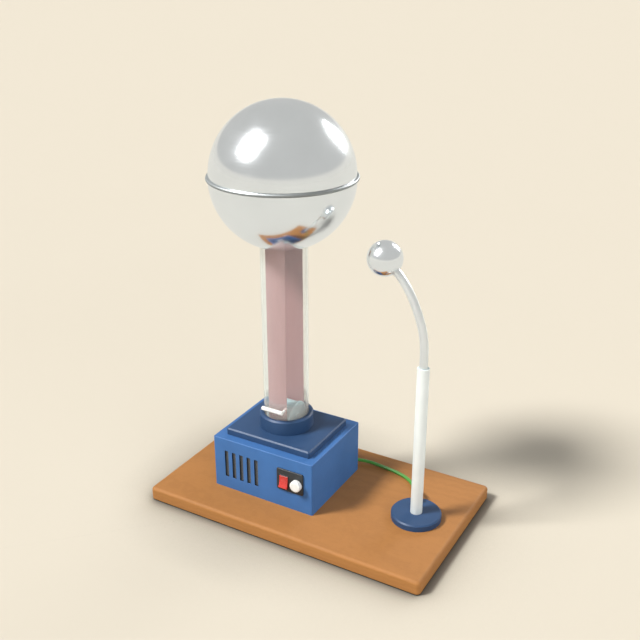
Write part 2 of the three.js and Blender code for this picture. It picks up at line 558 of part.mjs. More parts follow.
function knurled(rOut, rIn, bore, teethCount) {
  const pts = [];
  for (let i = 0; i < teethCount; i++) {
    for (const [f, r] of [[0, rOut], [0.5, rOut], [0.75, rIn]]) {
      const a = 2 * Math.PI * (i + f) / teethCount;
      pts.push(new THREE.Vector2(r * Math.cos(a), r * Math.sin(a)));
    }
  }
  return [pts, circle(0, 0, bore, 12).reverse()];
}

const [nutOut, nutBore] = knurled(7.6, 6.8, 2.8, 12);
const nut = pushed(nutOut, [nutBore], 86.4, 95.0, 'y');
nut.translate(TERM_X, 0, TERM_Z);
place('terminal_nut', nut, 'brass');

// ------------------------------------------------------- discharge ball stand

place('wand_foot', cut(
  turned([[0, BOARD_Z1], [WFOOT_R, BOARD_Z1], [WFOOT_R, WFOOT_Z1 - 2], [WFOOT_R - 2, WFOOT_Z1], [0, WFOOT_Z1]],
    ROUND, 'z', [WX, WY, 0]),
  rod(POST_R + 0.3, POST_Z0 - 0.2, 60, 20, 'z', [WX, WY, 0]),
  rod(SCREW_PILOT, 20, 30, 8, 'z', [WX, WY, 0]),
  rod(2.4, 28.0, 60, 10, 'z', [WTERM[0], WTERM[1], 0])), 'navy');
place('wand_post', pipe(POST_IN, POST_R, POST_Z0, POST_Z1, 20, 'z', [WX, WY, 0]), 'white');
place('post_plug', cut(
  rod(POST_IN - 0.3, POST_Z0 + 0.1, 52, 16, 'z', [WX, WY, 0]),
  rod(SCREW_PILOT, 20, 48, 8, 'z', [WX, WY, 0])), 'nylon');
place('arm_bush', turned([
  [0, 257.5], [POST_IN - 0.3, 257.5], [POST_IN - 0.3, POST_Z1 - 0.4], [ARM_R + 0.3, POST_Z1 - 0.4],
  [ARM_R + 0.3, ARM_Z0 - 0.3], [0, ARM_Z0 - 0.3],
], 16, 'z', [WX, WY, 0]), 'nylon');

const ballIn = [118.8, WY, 443.5];                        // arm end, inside the ball
const armLine = [
  [WX, WY, ARM_Z0], [WX, WY, 285], [WX, WY, 306], [WX - 0.6, WY, 328], [173.5, WY, 351.0], [166.9, WY, 371.6],
  [157.8, WY, 393.3], [145.8, WY, 414.4], [129.6, WY, 434.4], ballIn,
];
place('wand_arm', swept(armLine, ARM_R, 10, 20), 'alu');
const armEnd = new THREE.Vector3(...ballIn);
const armBack = new THREE.Vector3(129.6, WY, 434.4);
const out = armBack.clone().sub(armEnd).normalize();
const from = armEnd.clone().addScaledVector(out, -0.8), to = armEnd.clone().addScaledVector(out, 26);
const ball = turned(Array.from({ length: 13 }, (_, i) => {
  const a = -Math.PI / 2 + Math.PI * i / 12;
  return [Math.max(0, BALL_R * Math.cos(a)), BALL_R * Math.sin(a)];
}).map(([r, h], i) => [i === 0 || i === 12 ? 0 : r, h]), 20, 'z', BALL);
place('discharge_ball', cut(ball, bar(from.toArray(), to.toArray(), ARM_R + 0.9, 12)), 'alu');

place('wand_stud', rod(2.0, 28.3, 47.0, 10, 'z', [WTERM[0], WTERM[1], 0], 0.5), 'brass');
const [wnutOut, wnutBore] = knurled(6.0, 5.3, 2.3, 10);
const wnut = pushed(wnutOut, [wnutBore], 37.6, 44.6, 'z');
wnut.translate(WTERM[0], WTERM[1], 0);
place('wand_nut', wnut, 'brass');

// ------------------------------------------------------------------ green lead

// ring tongue and barrel at each end; the tongue lies across its stud
const dA = [0.8, 0, -0.6];
const lugAy = 87.6;             // middle of the barrel, y
const aRing = pushed(circle(TERM_X, TERM_Z, 6.0, 12), [circle(TERM_X, TERM_Z, 2.9, 10).reverse()], 84.6, 86.0, 'y');
const aEnd = [TERM_X + dA[0] * 16.5, lugAy, TERM_Z + dA[2] * 16.5];
place('lug_housing', join(aRing,
  bar([TERM_X + dA[0] * 4.2, 85.3, TERM_Z + dA[2] * 4.2], [TERM_X + dA[0] * 9.4, 85.3, TERM_Z + dA[2] * 9.4], 0.69, 5),
  bar([TERM_X + dA[0] * 8.8, lugAy, TERM_Z + dA[2] * 8.8], aEnd, 3.0, 8)), 'copper');

const dB = [-0.28, 0.96];
const lugBz = 38.9;
const bRing = pushed(circle(WTERM[0], WTERM[1], 5.2, 12), [circle(WTERM[0], WTERM[1], 2.4, 10).reverse()], 35.9, 37.3, 'z');
const bEnd = [WTERM[0] + dB[0] * 14.5, WTERM[1] + dB[1] * 14.5, lugBz];
place('lug_wand', join(bRing,
  bar([WTERM[0] + dB[0] * 3.8, WTERM[1] + dB[1] * 3.8, 36.6], [WTERM[0] + dB[0] * 8.4, WTERM[1] + dB[1] * 8.4, 36.6], 0.69, 5),
  bar([WTERM[0] + dB[0] * 7.6, WTERM[1] + dB[1] * 7.6, lugBz], bEnd, 2.9, 8)), 'copper');

const leadLine = [
  [aEnd[0] + dA[0] * 0.35, lugAy, aEnd[2] + dA[2] * 0.35], [2.09, 87.85, 38.05], [6.95, 89.23, 35.25],
  [17.84, 94.97, 31.95], [29.45, 100.11, 30.52], [41.82, 103.06, 29.38], [54.52, 104.01, 28.28], [67.27, 103.62, 27.54],
  [80.0, 102.4, 27.1], [92.64, 100.5, 27.1], [105.06, 97.45, 27.1], [117.08, 93.12, 27.1], [128.0, 86.51, 27.1],
  [137.66, 78.14, 27.25], [146.72, 69.39, 29.34], [155.01, 60.66, 33.6], [161.62, 50.61, 37.84],
  [163.84, 45.34, 38.75], [bEnd[0] + dB[0] * 0.4, bEnd[1] + dB[1] * 0.4, lugBz],
];
place('earth_lead', swept(leadLine, LEAD_R, 8, 36), 'green');

// ------------------------------------------------------------- inside wiring

place('wire_inlet_switch', swept([
  [INLET_X + 6, 52.4, INLET_Z], [INLET_X + 8, 46, 70], [-48, 36, 92], [-36, 8, 101], [-26, -22, 98],
  [ROCK_X, -44, 86], [ROCK_X, -50.4, ROCK_Z + 6.9],
], 1.2, 6, 14), 'black');
place('wire_switch_board', swept([
  [ROCK_X, -50.4, ROCK_Z - 7.7], [ROCK_X - 0.5, -47.2, 62], [-25.5, -38.6, 58], [-29, -35, 53], [-29, -35, 47.5],
], 1.2, 6, 9), 'black');
place('wire_board_motor', swept([
  [-4, -35.5, 46.5], [-4, -35.5, 52], [0, -26, 62], [4, -8, 66], [0.5, 0.5, 63], [-5.4, 0.5, 61],
], 1.2, 6, 11), 'black');

// ---------------------------------------------------------------------- screws

bosses.forEach(([x, y], i) => {
  place('housing_screw_' + (i + 1), turned([
    [0, 7.0], [SCREW_HEAD_R, 7.0], [SCREW_HEAD_R, 10.0], [SCREW_R, 10.7], [SCREW_R, 60], [0, 62],
  ], 10, 'z', [x, y, 0]), 'steel');
});
place('wand_screw', turned([
  [0, 7.0], [SCREW_HEAD_R, 7.0], [SCREW_HEAD_R, 10.0], [SCREW_R, 10.7], [SCREW_R, 42], [0, 44],
], 10, 'z', [WX, WY, 0]), 'steel');

export default object;
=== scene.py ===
"""Finish of an electrostatic belt generator with a discharge ball on a post.

Lengths below are in millimetres unless a line says otherwise, and are turned into
metres where a mesh is made. +Z is up, -Y is the front of the housing.
"""

import math

import bpy
import bmesh
import numpy as np
from mathutils import Matrix, Vector
from mathutils.geometry import tessellate_polygon


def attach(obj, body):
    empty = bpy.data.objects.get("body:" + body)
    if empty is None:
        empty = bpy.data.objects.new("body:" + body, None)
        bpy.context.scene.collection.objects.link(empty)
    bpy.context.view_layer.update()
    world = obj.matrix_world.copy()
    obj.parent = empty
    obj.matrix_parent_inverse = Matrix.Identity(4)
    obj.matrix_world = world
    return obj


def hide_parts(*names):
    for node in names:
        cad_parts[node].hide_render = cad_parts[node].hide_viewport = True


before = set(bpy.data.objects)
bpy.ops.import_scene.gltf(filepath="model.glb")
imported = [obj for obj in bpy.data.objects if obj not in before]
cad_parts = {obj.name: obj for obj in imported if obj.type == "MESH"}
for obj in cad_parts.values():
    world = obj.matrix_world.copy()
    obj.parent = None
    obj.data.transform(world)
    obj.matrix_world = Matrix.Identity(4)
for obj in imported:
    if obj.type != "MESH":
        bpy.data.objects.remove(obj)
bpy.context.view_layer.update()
scene = bpy.context.scene
MM = 0.001

# ------------------------------------------------------------------ dimensions

BOARD_X, BOARD_Y, BOARD_Z0, BOARD_Z1 = 249.0, 145.0, 1.8, 24.0
HX0, HX1, HY0, HY1, HZ0, HZ1 = -159.2, 31.3, -79.9, 80.8, 24.0, 118.0
WALL = 3.0
PX0, PX1, PY0, PY1, PZ1 = -143.0, 17.0, -64.7, 61.7, 130.0
AX, AY = -64.6, 0.5
COLLAR_R, COLLAR_Z1 = 44.9, 155.0
TUBE_R, TUBE_IN, TUBE_Z1 = 37.6, 35.4, 532.0
LOWER_Z, UPPER_Z = 146.0, 520.0
BELT_IN, BELT_T, BELT_HALF = 26.3, 1.0, 17.4
MOTOR_Z, DRIVE_X = 60.0, AX - 26.5
DOME_Z, DOME_R, DOME_T, MOUTH_R = 556.0, 112.0, 1.2, 38.3   # upper half
BOWL_Z, BOWL_R = 553.6, 112.8                               # lower half
BEAD_Z, BEAD_R, BEAD_RING = 553.5, 2.9, 113.1
SEAT_Z0, SEAT_Z1 = 449.8, 459.0
COMB_Y, COMB_Z, COMB_X0, COMB_X1 = -43.2, 173.5, -84.5, -46.8
PANEL_X0, PANEL_X1, PANEL_Z0, PANEL_Z1, PANEL_Y = -33.8, 15.6, 57.5, 96.6, HY0 - 2.4
ROCK_X, ROCK_Y, ROCK_Z, ROCK_TILT = -20.3, -80.5, 73.8, 9.6
KNOB_X, KNOB_Z, KNOB_R = 5.0, 76.3, 9.6
INLET_X, INLET_Z = -60.0, 62.0
TERM_X, TERM_Z = -14.0, 50.0
WX, WY, WFOOT_R, WFOOT_Z1 = 177.8, 1.0, 40.6, 35.2
POST_R, POST_IN, POST_Z0, POST_Z1 = 9.6, 7.9, 27.2, 292.0
ARM_R, ARM_Z0 = 6.4, 262.4
BALL, BALL_R = (108.8, 1.0, 453.0), 27.0
WTERM = (169.0, 28.0)
LEAD_R = 2.9

# ---------------------------------------------------------------------- camera

cam_data = bpy.data.cameras.new("camera")
cam_data.lens, cam_data.sensor_width = 50.0, 36.0
cam_data.clip_start, cam_data.clip_end = 0.05, 200.0
camera = bpy.data.objects.new("camera", cam_data)
scene.collection.objects.link(camera)
turn = Matrix(((0.86796, 0.49664, 0.0), (-0.19599, 0.34251, 0.91885), (0.45631, -0.79753, 0.39462))).transposed()
camera.matrix_world = Matrix.Translation((0.63543, -1.11022, 0.88163)) @ turn.to_4x4()
scene.camera = camera

scene.view_settings.view_transform = "Standard"
scene.view_settings.look = "None"
scene.view_settings.exposure = 0.0
scene.view_settings.gamma = 1.0

# ------------------------------------------------------------- material helpers


def srgb(r, g, b):
    """Display values 0-255 as linear ones."""
    out = []
    for v in (r, g, b):
        v /= 255.0
        out.append(v / 12.92 if v <= 0.04045 else ((v + 0.055) / 1.055) ** 2.4)
    return tuple(out)


def grade(colour, k):
    return tuple(max(0.0, min(1.0, c * k)) for c in colour)


class Look:
    """A material with one Principled shader and short names for the usual nodes."""

    def __init__(self, name, colour, rough=0.5, metal=0.0, slot=None, **sockets):
        self.mat = bpy.data.materials.new(name)
        self.mat.use_nodes = True
        self.tree = self.mat.node_tree
        self.shader = next(n for n in self.tree.nodes if n.type == "BSDF_PRINCIPLED")
        self.slot = slot
        self.shader.inputs["Base Color"].default_value = (*colour, 1)
        self.shader.inputs["Roughness"].default_value = rough
        self.shader.inputs["Metallic"].default_value = metal
        for k, v in sockets.items():
            self.shader.inputs[k.replace("_", " ")].default_value = v
        self.mat.diffuse_color = (*colour, 1)
        self._space = None

    def node(self, kind, **values):
        n = self.tree.nodes.new(kind)
        for k, v in values.items():
            setattr(n, k, v)
        return n

    def link(self, a, b):
        self.tree.links.new(a, b)

    def space(self, scale=(1, 1, 1), rot=(0, 0, 0), offset=(0, 0, 0)):
        if self._space is None:
            self._space = self.node("ShaderNodeTexCoord").outputs["Object"]
        m = self.node("ShaderNodeMapping")
        m.inputs["Scale"].default_value = scale
        m.inputs["Rotation"].default_value = rot
        m.inputs["Location"].default_value = offset
        self.link(self._space, m.inputs["Vector"])
        return m.outputs["Vector"]

    def noise(self, vector, scale=5.0, detail=4.0, rough=0.5, distortion=0.0):
        n = self.node("ShaderNodeTexNoise")
        n.inputs["Scale"].default_value = scale
        n.inputs["Detail"].default_value = detail
        n.inputs["Roughness"].default_value = rough
        n.inputs["Distortion"].default_value = distortion
        self.link(vector, n.inputs["Vector"])
        return n.outputs["Fac"]

    def cells(self, vector, scale=5.0, feature="F1"):
        n = self.node("ShaderNodeTexVoronoi", feature=feature)
        n.inputs["Scale"].default_value = scale
        self.link(vector, n.inputs["Vector"])
        return n.outputs["Distance"]

    def waves(self, vector, scale=5.0, kind="RINGS", direction="X", distortion=0.0, detail=2.0, detail_scale=1.0, profile="SIN"):
        n = self.node("ShaderNodeTexWave", wave_type=kind, wave_profile=profile)
        if kind == "RINGS":
            n.rings_direction = direction
        else:
            n.bands_direction = direction
        n.inputs["Scale"].default_value = scale
        n.inputs["Distortion"].default_value = distortion
        n.inputs["Detail"].default_value = detail
        n.inputs["Detail Scale"].default_value = detail_scale
        self.link(vector, n.inputs["Vector"])
        return n.outputs["Fac"]

    def ramp(self, fac, stops):
        n = self.node("ShaderNodeValToRGB")
        e = n.color_ramp.elements
        while len(e) < len(stops):
            e.new(0.5)
        for k, (at, c) in zip(e, stops):
            k.position = at
            k.color = (*c, 1) if hasattr(c, "__len__") else (c, c, c, 1)
        self.link(fac, n.inputs["Fac"])
        return n.outputs["Color"]

    def span(self, fac, a, b, lo=0.0, hi=1.0, smooth=False):
        n = self.node("ShaderNodeMapRange")
        if smooth:
            n.interpolation_type = "SMOOTHSTEP"
        for k, v in (("From Min", lo), ("From Max", hi), ("To Min", a), ("To Max", b)):
            n.inputs[k].default_value = v
        self.link(fac, n.inputs["Value"])
        return n.outputs["Result"]

    def math(self, op, a, b=None):
        n = self.node("ShaderNodeMath", operation=op)
        for i, v in enumerate((a, b)):
            if v is None:
                continue
            if isinstance(v, (int, float)):
                n.inputs[i].default_value = v
            else:
                self.link(v, n.inputs[i])
        return n.outputs[0]

    def mix(self, fac, a, b, blend="MIX"):
        n = self.node("ShaderNodeMix", data_type="RGBA", blend_type=blend)
        ins = [n.inputs[0], n.inputs[6], n.inputs[7]]
        for s, v in zip(ins, (fac, a, b)):
            if isinstance(v, (int, float)):
                s.default_value = v
            elif isinstance(v, tuple):
                s.default_value = (*v, 1)
            else:
                self.link(v, s)
        return n.outputs[2]

    def axis(self, which, vector=None):
        n = self.node("ShaderNodeSeparateXYZ")
        if vector is None:
            vector = self.space()
        self.link(vector, n.inputs[0])
        return n.outputs["XYZ".index(which)]

    def colour(self, socket):
        self.link(socket, self.shader.inputs["Base Color"])

    def rough(self, socket):
        self.link(socket, self.shader.inputs["Roughness"])

    def bump(self, height, distance, strength=1.0, under=None):
        """distance in millimetres is the height of a step from 0 to 1."""
        n = self.node("ShaderNodeBump")
        n.inputs["Strength"].default_value = strength
        n.inputs["Distance"].default_value = distance * MM
        self.link(height, n.inputs["Height"])
        if under is not None:
            self.link(under, n.inputs["Normal"])
        self.link(n.outputs["Normal"], self.shader.inputs["Normal"])
        return n.outputs["Normal"]


# ------------------------------------------------------------------- materials

# varnished board: growth lines along X, end grain on the short edges
WOOD = (0.356, 0.157, 0.047)
wood = Look("wood_varnished", WOOD, 0.5, slot="wood")
wood.shader.inputs["Specular IOR Level"].default_value = 0.18
v = wood.space((1.0, 1.0, 1.0), (0.02, 0.035, 0.012), (0.0, 0.062, 0.31))
lines = wood.waves(v, 42.0, "RINGS", "X", 5.0, 3.0, 1.6)
v2 = wood.space((3.2, 60.0, 60.0))
fibre = wood.noise(v2, 9.0, 6.0, 0.6, 0.2)
v3 = wood.space((1.6, 8.0, 8.0))
clouds = wood.noise(v3, 2.4, 3.0, 0.5)
base = wood.ramp(lines, [(0.0, grade(WOOD, 0.93)), (0.45, WOOD), (1.0, grade(WOOD, 1.05))])
base = wood.mix(0.30, base, wood.ramp(fibre, [(0.3, grade(WOOD, 0.86)), (0.7, grade(WOOD, 1.08))]))
base = wood.mix(0.25, base, wood.ramp(clouds, [(0.35, grade(WOOD, 0.90)), (0.65, grade(WOOD, 1.08))]))
pores = wood.noise(wood.space((14.0, 420.0, 420.0)), 6.0, 2.0, 0.5)
base = wood.mix(wood.span(pores, 0.0, 0.35, 0.60, 0.72, True), base, grade(WOOD, 0.52))
wood.colour(base)
wood.rough(wood.span(fibre, 0.58, 0.70, 0.3, 0.7))
wood.bump(fibre, 0.05, 0.5, wood.bump(pores, 0.06, 0.35))


def paint(name, colour, rough, slot, peel=0.10, fleck=0.06, **more):
    """Sprayed enamel: fine orange peel and a faint change of tone."""
    m = Look(name, colour, rough, slot=slot, **more)
    m.shader.inputs["Specular IOR Level"].default_value = 0.24
    fine = m.noise(m.space(), 900.0, 2.0, 0.5)
    broad = m.noise(m.space(), 26.0, 3.0, 0.55)
    m.colour(m.ramp(broad, [(0.3, grade(colour, 1 - fleck)), (0.7, grade(colour, 1 + fleck))]))
    m.rough(m.span(fine, rough - 0.05, rough + 0.06, 0.3, 0.7))
    m.bump(fine, peel, 0.35)
    return m


BLUE = (0.046, 0.139, 0.350)
NAVY = (0.0245, 0.060, 0.139)
blue = paint("paint_blue", BLUE, 0.5, "blue_paint")
navy = paint("paint_navy", NAVY, 0.45, "navy_paint", peel=0.07)
# painted shade: the inside of the housing and the walls of the vent slots are near black
housing_inside_painted_shade = paint("paint_inside_painted_shade", (0.006, 0.0065, 0.0075), 0.8, "blue_paint", peel=0.12)

# clear acrylic tube: each face lets most light pass straight on, less of it at a slant
clear = Look("acrylic_clear", (0.66, 0.83, 0.86), 0.05, slot="clear_acrylic")
slant = clear.node("ShaderNodeLayerWeight")
slant.inputs["Blend"].default_value = 0.5
film = clear.span(clear.math("POWER", slant.outputs["Facing"], 3.0), 0.055, 0.34)
# the tube turns greyer and less clear towards its foot, just above the collar
foot_haze = clear.span(clear.axis("Z"), 1.0, 0.0, 0.177, 0.186)
clear.colour(clear.mix(foot_haze, (0.66, 0.83, 0.86), (0.60, 0.590, 0.56)))
clear.link(clear.math("ADD", film, clear.math("MULTIPLY", foot_haze, 0.20)), clear.shader.inputs["Alpha"])

# belt: matt pink rubberised fabric with a fine weave; its inner face is painted a little darker as painted shade
def belt_cloth(name, colour):
    m = Look(name, colour, 0.8, slot="belt_rubber")
    m.shader.inputs["Specular IOR Level"].default_value = 0.25
    weave_a = m.waves(m.space(), 260.0, "BANDS", "X", 0.2, 1.0, 1.0)
    weave_b = m.waves(m.space(), 260.0, "BANDS", "Z", 0.2, 1.0, 1.0)
    weave = m.math("MULTIPLY", weave_a, weave_b)
    dust = m.noise(m.space((60, 20, 9)), 2.0, 4.0, 0.6)
    tone = m.ramp(dust, [(0.3, grade(colour, 0.95)), (0.7, grade(colour, 1.04))])
    m.colour(m.mix(m.span(weave, 0.0, 0.12), tone, grade(colour, 0.8)))
    m.bump(weave, 0.12, 0.5)
    return m


BELT = (0.440, 0.268, 0.262)
belt_look = belt_cloth("belt_rubber", BELT)
# painted shade: the same fabric made darker for the inner face of the loop
belt_back_painted_shade = belt_cloth("belt_rubber_back_painted_shade", (0.376, 0.217, 0.211))

# polished spun metal: faint lathe lines round the vertical axis
ALU = (0.845, 0.875, 0.895)


def spun(name, colour, rough, slot, centre, lines=0.02, step=3400.0):
    m = Look(name, colour, rough, 1.0, slot=slot)
    v = m.space(offset=(-centre[0] * MM, -centre[1] * MM, 0))
    bands = m.noise(m.space((0.6, 0.6, 240.0)), 5.0, 4.0, 0.6)
    smear = m.noise(m.space(), 14.0, 3.0, 0.55)
    both = m.math("ADD", m.math("MULTIPLY", bands, 0.55), m.math("MULTIPLY", smear, 0.45))
    m.rough(m.span(both, rough * 0.7, rough * 1.5, 0.35, 0.65))
    m.colour(m.ramp(smear, [(0.3, grade(colour, 0.97)), (0.7, grade(colour, 1.02))]))
    m.bump(bands, lines, 0.3)
    return m


dome_look = spun("dome_polished", ALU, 0.13, "polished_aluminium", (AX, AY), 0.004)
ball_look = spun("ball_polished", ALU, 0.14, "polished_aluminium", (BALL[0], BALL[1]), 0.002)
arm_look = Look("arm_polished", (0.83, 0.855, 0.86), 0.22, 1.0, slot="polished_aluminium")
drawn = arm_look.noise(arm_look.space((500, 500, 14)), 2.0, 4.0, 0.6)
arm_look.rough(arm_look.span(drawn, 0.30, 0.44, 0.3, 0.7))
arm_look.bump(drawn, 0.01, 0.4)
ring_look = spun("ring_polished", (0.300, 0.318, 0.320), 0.42, "ring_metal", (AX, AY), 0.003)


def metal(name, colour, rough, slot, grain=(1, 1, 1), scale=300.0, spread=0.10, rise=0.02):
    m = Look(name, colour, rough, 1.0, slot=slot)
    g = m.noise(m.space(grain), scale, 4.0, 0.6)
    wide = m.noise(m.space(), 30.0, 3.0, 0.5)
    m.rough(m.span(g, max(0.05, rough - spread), rough + spread, 0.3, 0.7))
    m.colour(m.ramp(wide, [(0.3, grade(colour, 0.93)), (0.7, grade(colour, 1.05))]))
    m.bump(g, rise, 0.4)
    return m


zinc = metal("zinc_plated", (0.60, 0.62, 0.64), 0.38, "zinc_plate", (1, 1, 1), 420.0)
steel = metal("steel_bright", (0.56, 0.57, 0.58), 0.30, "steel", (1, 1, 1), 600.0)
brass = metal("brass_turned", (0.78, 0.57, 0.25), 0.26, "brass", (1, 1, 1), 700.0)
tin = metal("copper_tinned", (0.62, 0.60, 0.57), 0.32, "tinned_copper", (1, 1, 1), 500.0)
# black zinc finish for the brackets behind the vents; its darkness is also painted shade for the inside of the housing
zinc_black_painted_shade = metal("zinc_black_painted_shade", (0.05, 0.05, 0.055), 0.5, "zinc_plate", (1, 1, 1), 420.0)
can = metal("motor_can", (0.30, 0.31, 0.33), 0.36, "motor_case", (40, 1, 1), 30.0)


def plastic(name, colour, rough, slot, grain=600.0, rise=0.03, tone=0.03, **more):
    m = Look(name, colour, rough, slot=slot, **more)
    g = m.noise(m.space(), grain, 3.0, 0.55)
    wide = m.noise(m.space(), 40.0, 2.0, 0.5)
    m.rough(m.span(g, max(0.05, rough - 0.06), rough + 0.07, 0.3, 0.7))
    m.colour(m.ramp(wide, [(0.3, grade(colour, 1 - tone)), (0.7, grade(colour, 1 + tone))]))
    m.bump(g, rise, 0.3)
    return m


white = plastic("plastic_white", (0.73, 0.73, 0.71), 0.42, "white_plastic")
post_look = plastic("post_white", (0.69, 0.73, 0.718), 0.42, "white_plastic")
black = plastic("plastic_black", srgb(36, 39, 42), 0.42, "black_plastic", 1500.0, 0.05)
sooty = plastic("plastic_black_matt", srgb(20, 21, 23), 0.7, "black_plastic", 1500.0, 0.05)
red = plastic("plastic_red", srgb(188, 54, 49), 0.30, "red_plastic")
rubber = plastic("rubber_black", srgb(34, 34, 35), 0.8, "rubber", 900.0, 0.08)
nylon = plastic("nylon_natural", srgb(180, 203, 206), 0.45, "nylon", 500.0, 0.02, Subsurface_Weight=0.15, Subsurface_Radius=(0.004, 0.004, 0.004))
pvc = plastic("pvc_green", (0.060, 0.262, 0.036), 0.42, "green_pvc", 300.0, 0.05)
wire = plastic("wire_black", srgb(26, 26, 28), 0.45, "wire_black", 400.0, 0.03)
grommet_look = plastic("nylon_clear", (0.72, 0.60, 0.58), 0.4, "nylon", 500.0, 0.02, Alpha=0.45)
foam = Look("filter_foam", (0.100, 0.108, 0.115), 0.95, slot="filter_foam")
foam.shader.inputs["Specular IOR Level"].default_value = 0.2
holes = foam.cells(foam.space(), 900.0)
foam.colour(foam.ramp(holes, [(0.0, grade((0.100, 0.108, 0.115), 0.55)), (0.5, (0.100, 0.108, 0.115)), (0.9, grade((0.100, 0.108, 0.115), 1.3))]))
foam.bump(holes, 0.35, 0.7)
pcb = plastic("circuit_green", srgb(32, 92, 58), 0.35, "circuit_board", 500.0, 0.02)

# ---------------------------------------------------------------- mesh helpers


def fillet(points, radius=0.0, closed=True, seg=4):
    """Rounds the corners of an outline. A point may carry its own radius as a third number."""
    out, n = [], len(points)
    for i, p in enumerate(points):
        r = p[2] if len(p) > 2 else radius
        P = Vector((p[0], p[1]))
        if r <= 0 or (not closed and i in (0, n - 1)):
            out.append((P.x, P.y))
            continue
        a, b = points[i - 1], points[(i + 1) % n]
        u, w = Vector((a[0], a[1])) - P, Vector((b[0], b[1])) - P
        lu, lw = u.length, w.length
        if lu < 1e-6 or lw < 1e-6:
            out.append((P.x, P.y))
            continue
        u, w = u / lu, w / lw
        ang = math.acos(max(-1.0, min(1.0, u.dot(w))))
        if ang > math.pi - 0.02:
            out.append((P.x, P.y))
            continue
        t = min(r / math.tan(ang / 2), 0.48 * lu, 0.48 * lw)
        rr = t * math.tan(ang / 2)
        c = P + (u + w).normalized() * (rr / math.sin(ang / 2))
        p0, p1 = P + u * t - c, P + w * t - c
        a0, a1 = math.atan2(p0.y, p0.x), math.atan2(p1.y, p1.x)
        d = (a1 - a0 + math.pi) % (2 * math.pi) - math.pi
        for k in range(seg + 1):
            q = a0 + d * k / seg
            out.append((c.x + rr * math.cos(q), c.y + rr * math.sin(q)))
    return out


def put(axis, a, b, h):
    """A point given across an axis (a, b) and along it (h)."""
    return {"z": (a, b, h), "y": (a, h, b), "x": (h, a, b)}[axis]


def volume_sign(verts, faces):
    s = 0.0
    for f in faces:
        x0, y0, z0 = verts[f[0]]
        for i in range(1, len(f) - 1):
            x1, y1, z1 = verts[f[i]]
            x2, y2, z2 = verts[f[i + 1]]
            s += x0 * (y1 * z2 - z1 * y2) + y0 * (z1 * x2 - x1 * z2) + z0 * (x1 * y2 - y1 * x2)
    return s


def lathe(profile, n=64, axis="z", centre=(0, 0, 0)):
    """Turns a profile of (radius, height). It closes on itself unless it starts and ends on the axis."""
    pts = [tuple(p[:2]) for p in profile]
    if math.dist(pts[0], pts[-1]) < 1e-7:
        pts = pts[:-1]
    on_axis = pts[0][0] < 1e-7 and pts[-1][0] < 1e-7
    verts, rings = [], []
    for r, h in pts:
        if r < 1e-7:
            verts.append(put(axis, 0.0, 0.0, h))
            rings.append([len(verts) - 1] * n)
        else:
            start = len(verts)
            for k in range(n):
                a = 2 * math.pi * k / n
                verts.append(put(axis, r * math.cos(a), r * math.sin(a), h))
            rings.append(list(range(start, start + n)))
    faces = []
    pairs = list(zip(rings, rings[1:])) + ([] if on_axis else [(rings[-1], rings[0])])
    for lo, hi in pairs:
        for k in range(n):
            j = (k + 1) % n
            f = []
            for q in (lo[k], lo[j], hi[j], hi[k]):
                if q not in f:
                    f.append(q)
            if len(f) > 2:
                faces.append(f)
    if volume_sign(verts, faces) < 0:
        faces = [f[::-1] for f in faces]
    verts = [(x + centre[0], y + centre[1], z + centre[2]) for x, y, z in verts]
    return verts, faces


def area2(loop):
    return sum(a[0] * b[1] - b[0] * a[1] for a, b in zip(loop, loop[1:] + loop[:1]))


def widen(loop, d):
    """Moves an outline outward by d, corners mitred. The outline runs anticlockwise."""
    if abs(d) < 1e-9:
        return list(loop)
    n, out = len(loop), []
    for i in range(n):
        p, q, r = Vector(loop[i - 1]), Vector(loop[i]), Vector(loop[(i + 1) % n])
        e1, e2 = q - p, r - q
        if e1.length < 1e-9 or e2.length < 1e-9:
            e1 = e2 = e1 if e1.length > e2.length else e2
        n1, n2 = Vector((e1.y, -e1.x)).normalized(), Vector((e2.y, -e2.x)).normalized()
        m = n1 + n2
        m = n1 if m.length < 1e-6 else m.normalized()
        k = d / max(0.35, m.dot(n1))
        out.append((q.x + m.x * k, q.y + m.y * k))
    return out


def edge_levels(h0, h1, r0, r1=None, seg=4):
    """Heights and insets of a slab whose lower edge is rounded by r0 and upper by r1."""
    r1 = r0 if r1 is None else r1
    out = []
    if r0 > 0:
        out += [(h0 + r0 * (1 - math.cos(math.pi / 2 * k / seg)), -r0 * (1 - math.sin(math.pi / 2 * k / seg))) for k in range(seg + 1)]
    else:
        out.append((h0, 0.0))
    if r1 > 0:
        out += [(h1 - r1 * (1 - math.sin(math.pi / 2 * k / seg)), -r1 * (1 - math.cos(math.pi / 2 * k / seg))) for k in range(seg + 1)]
    else:
        out.append((h1, 0.0))
    return out


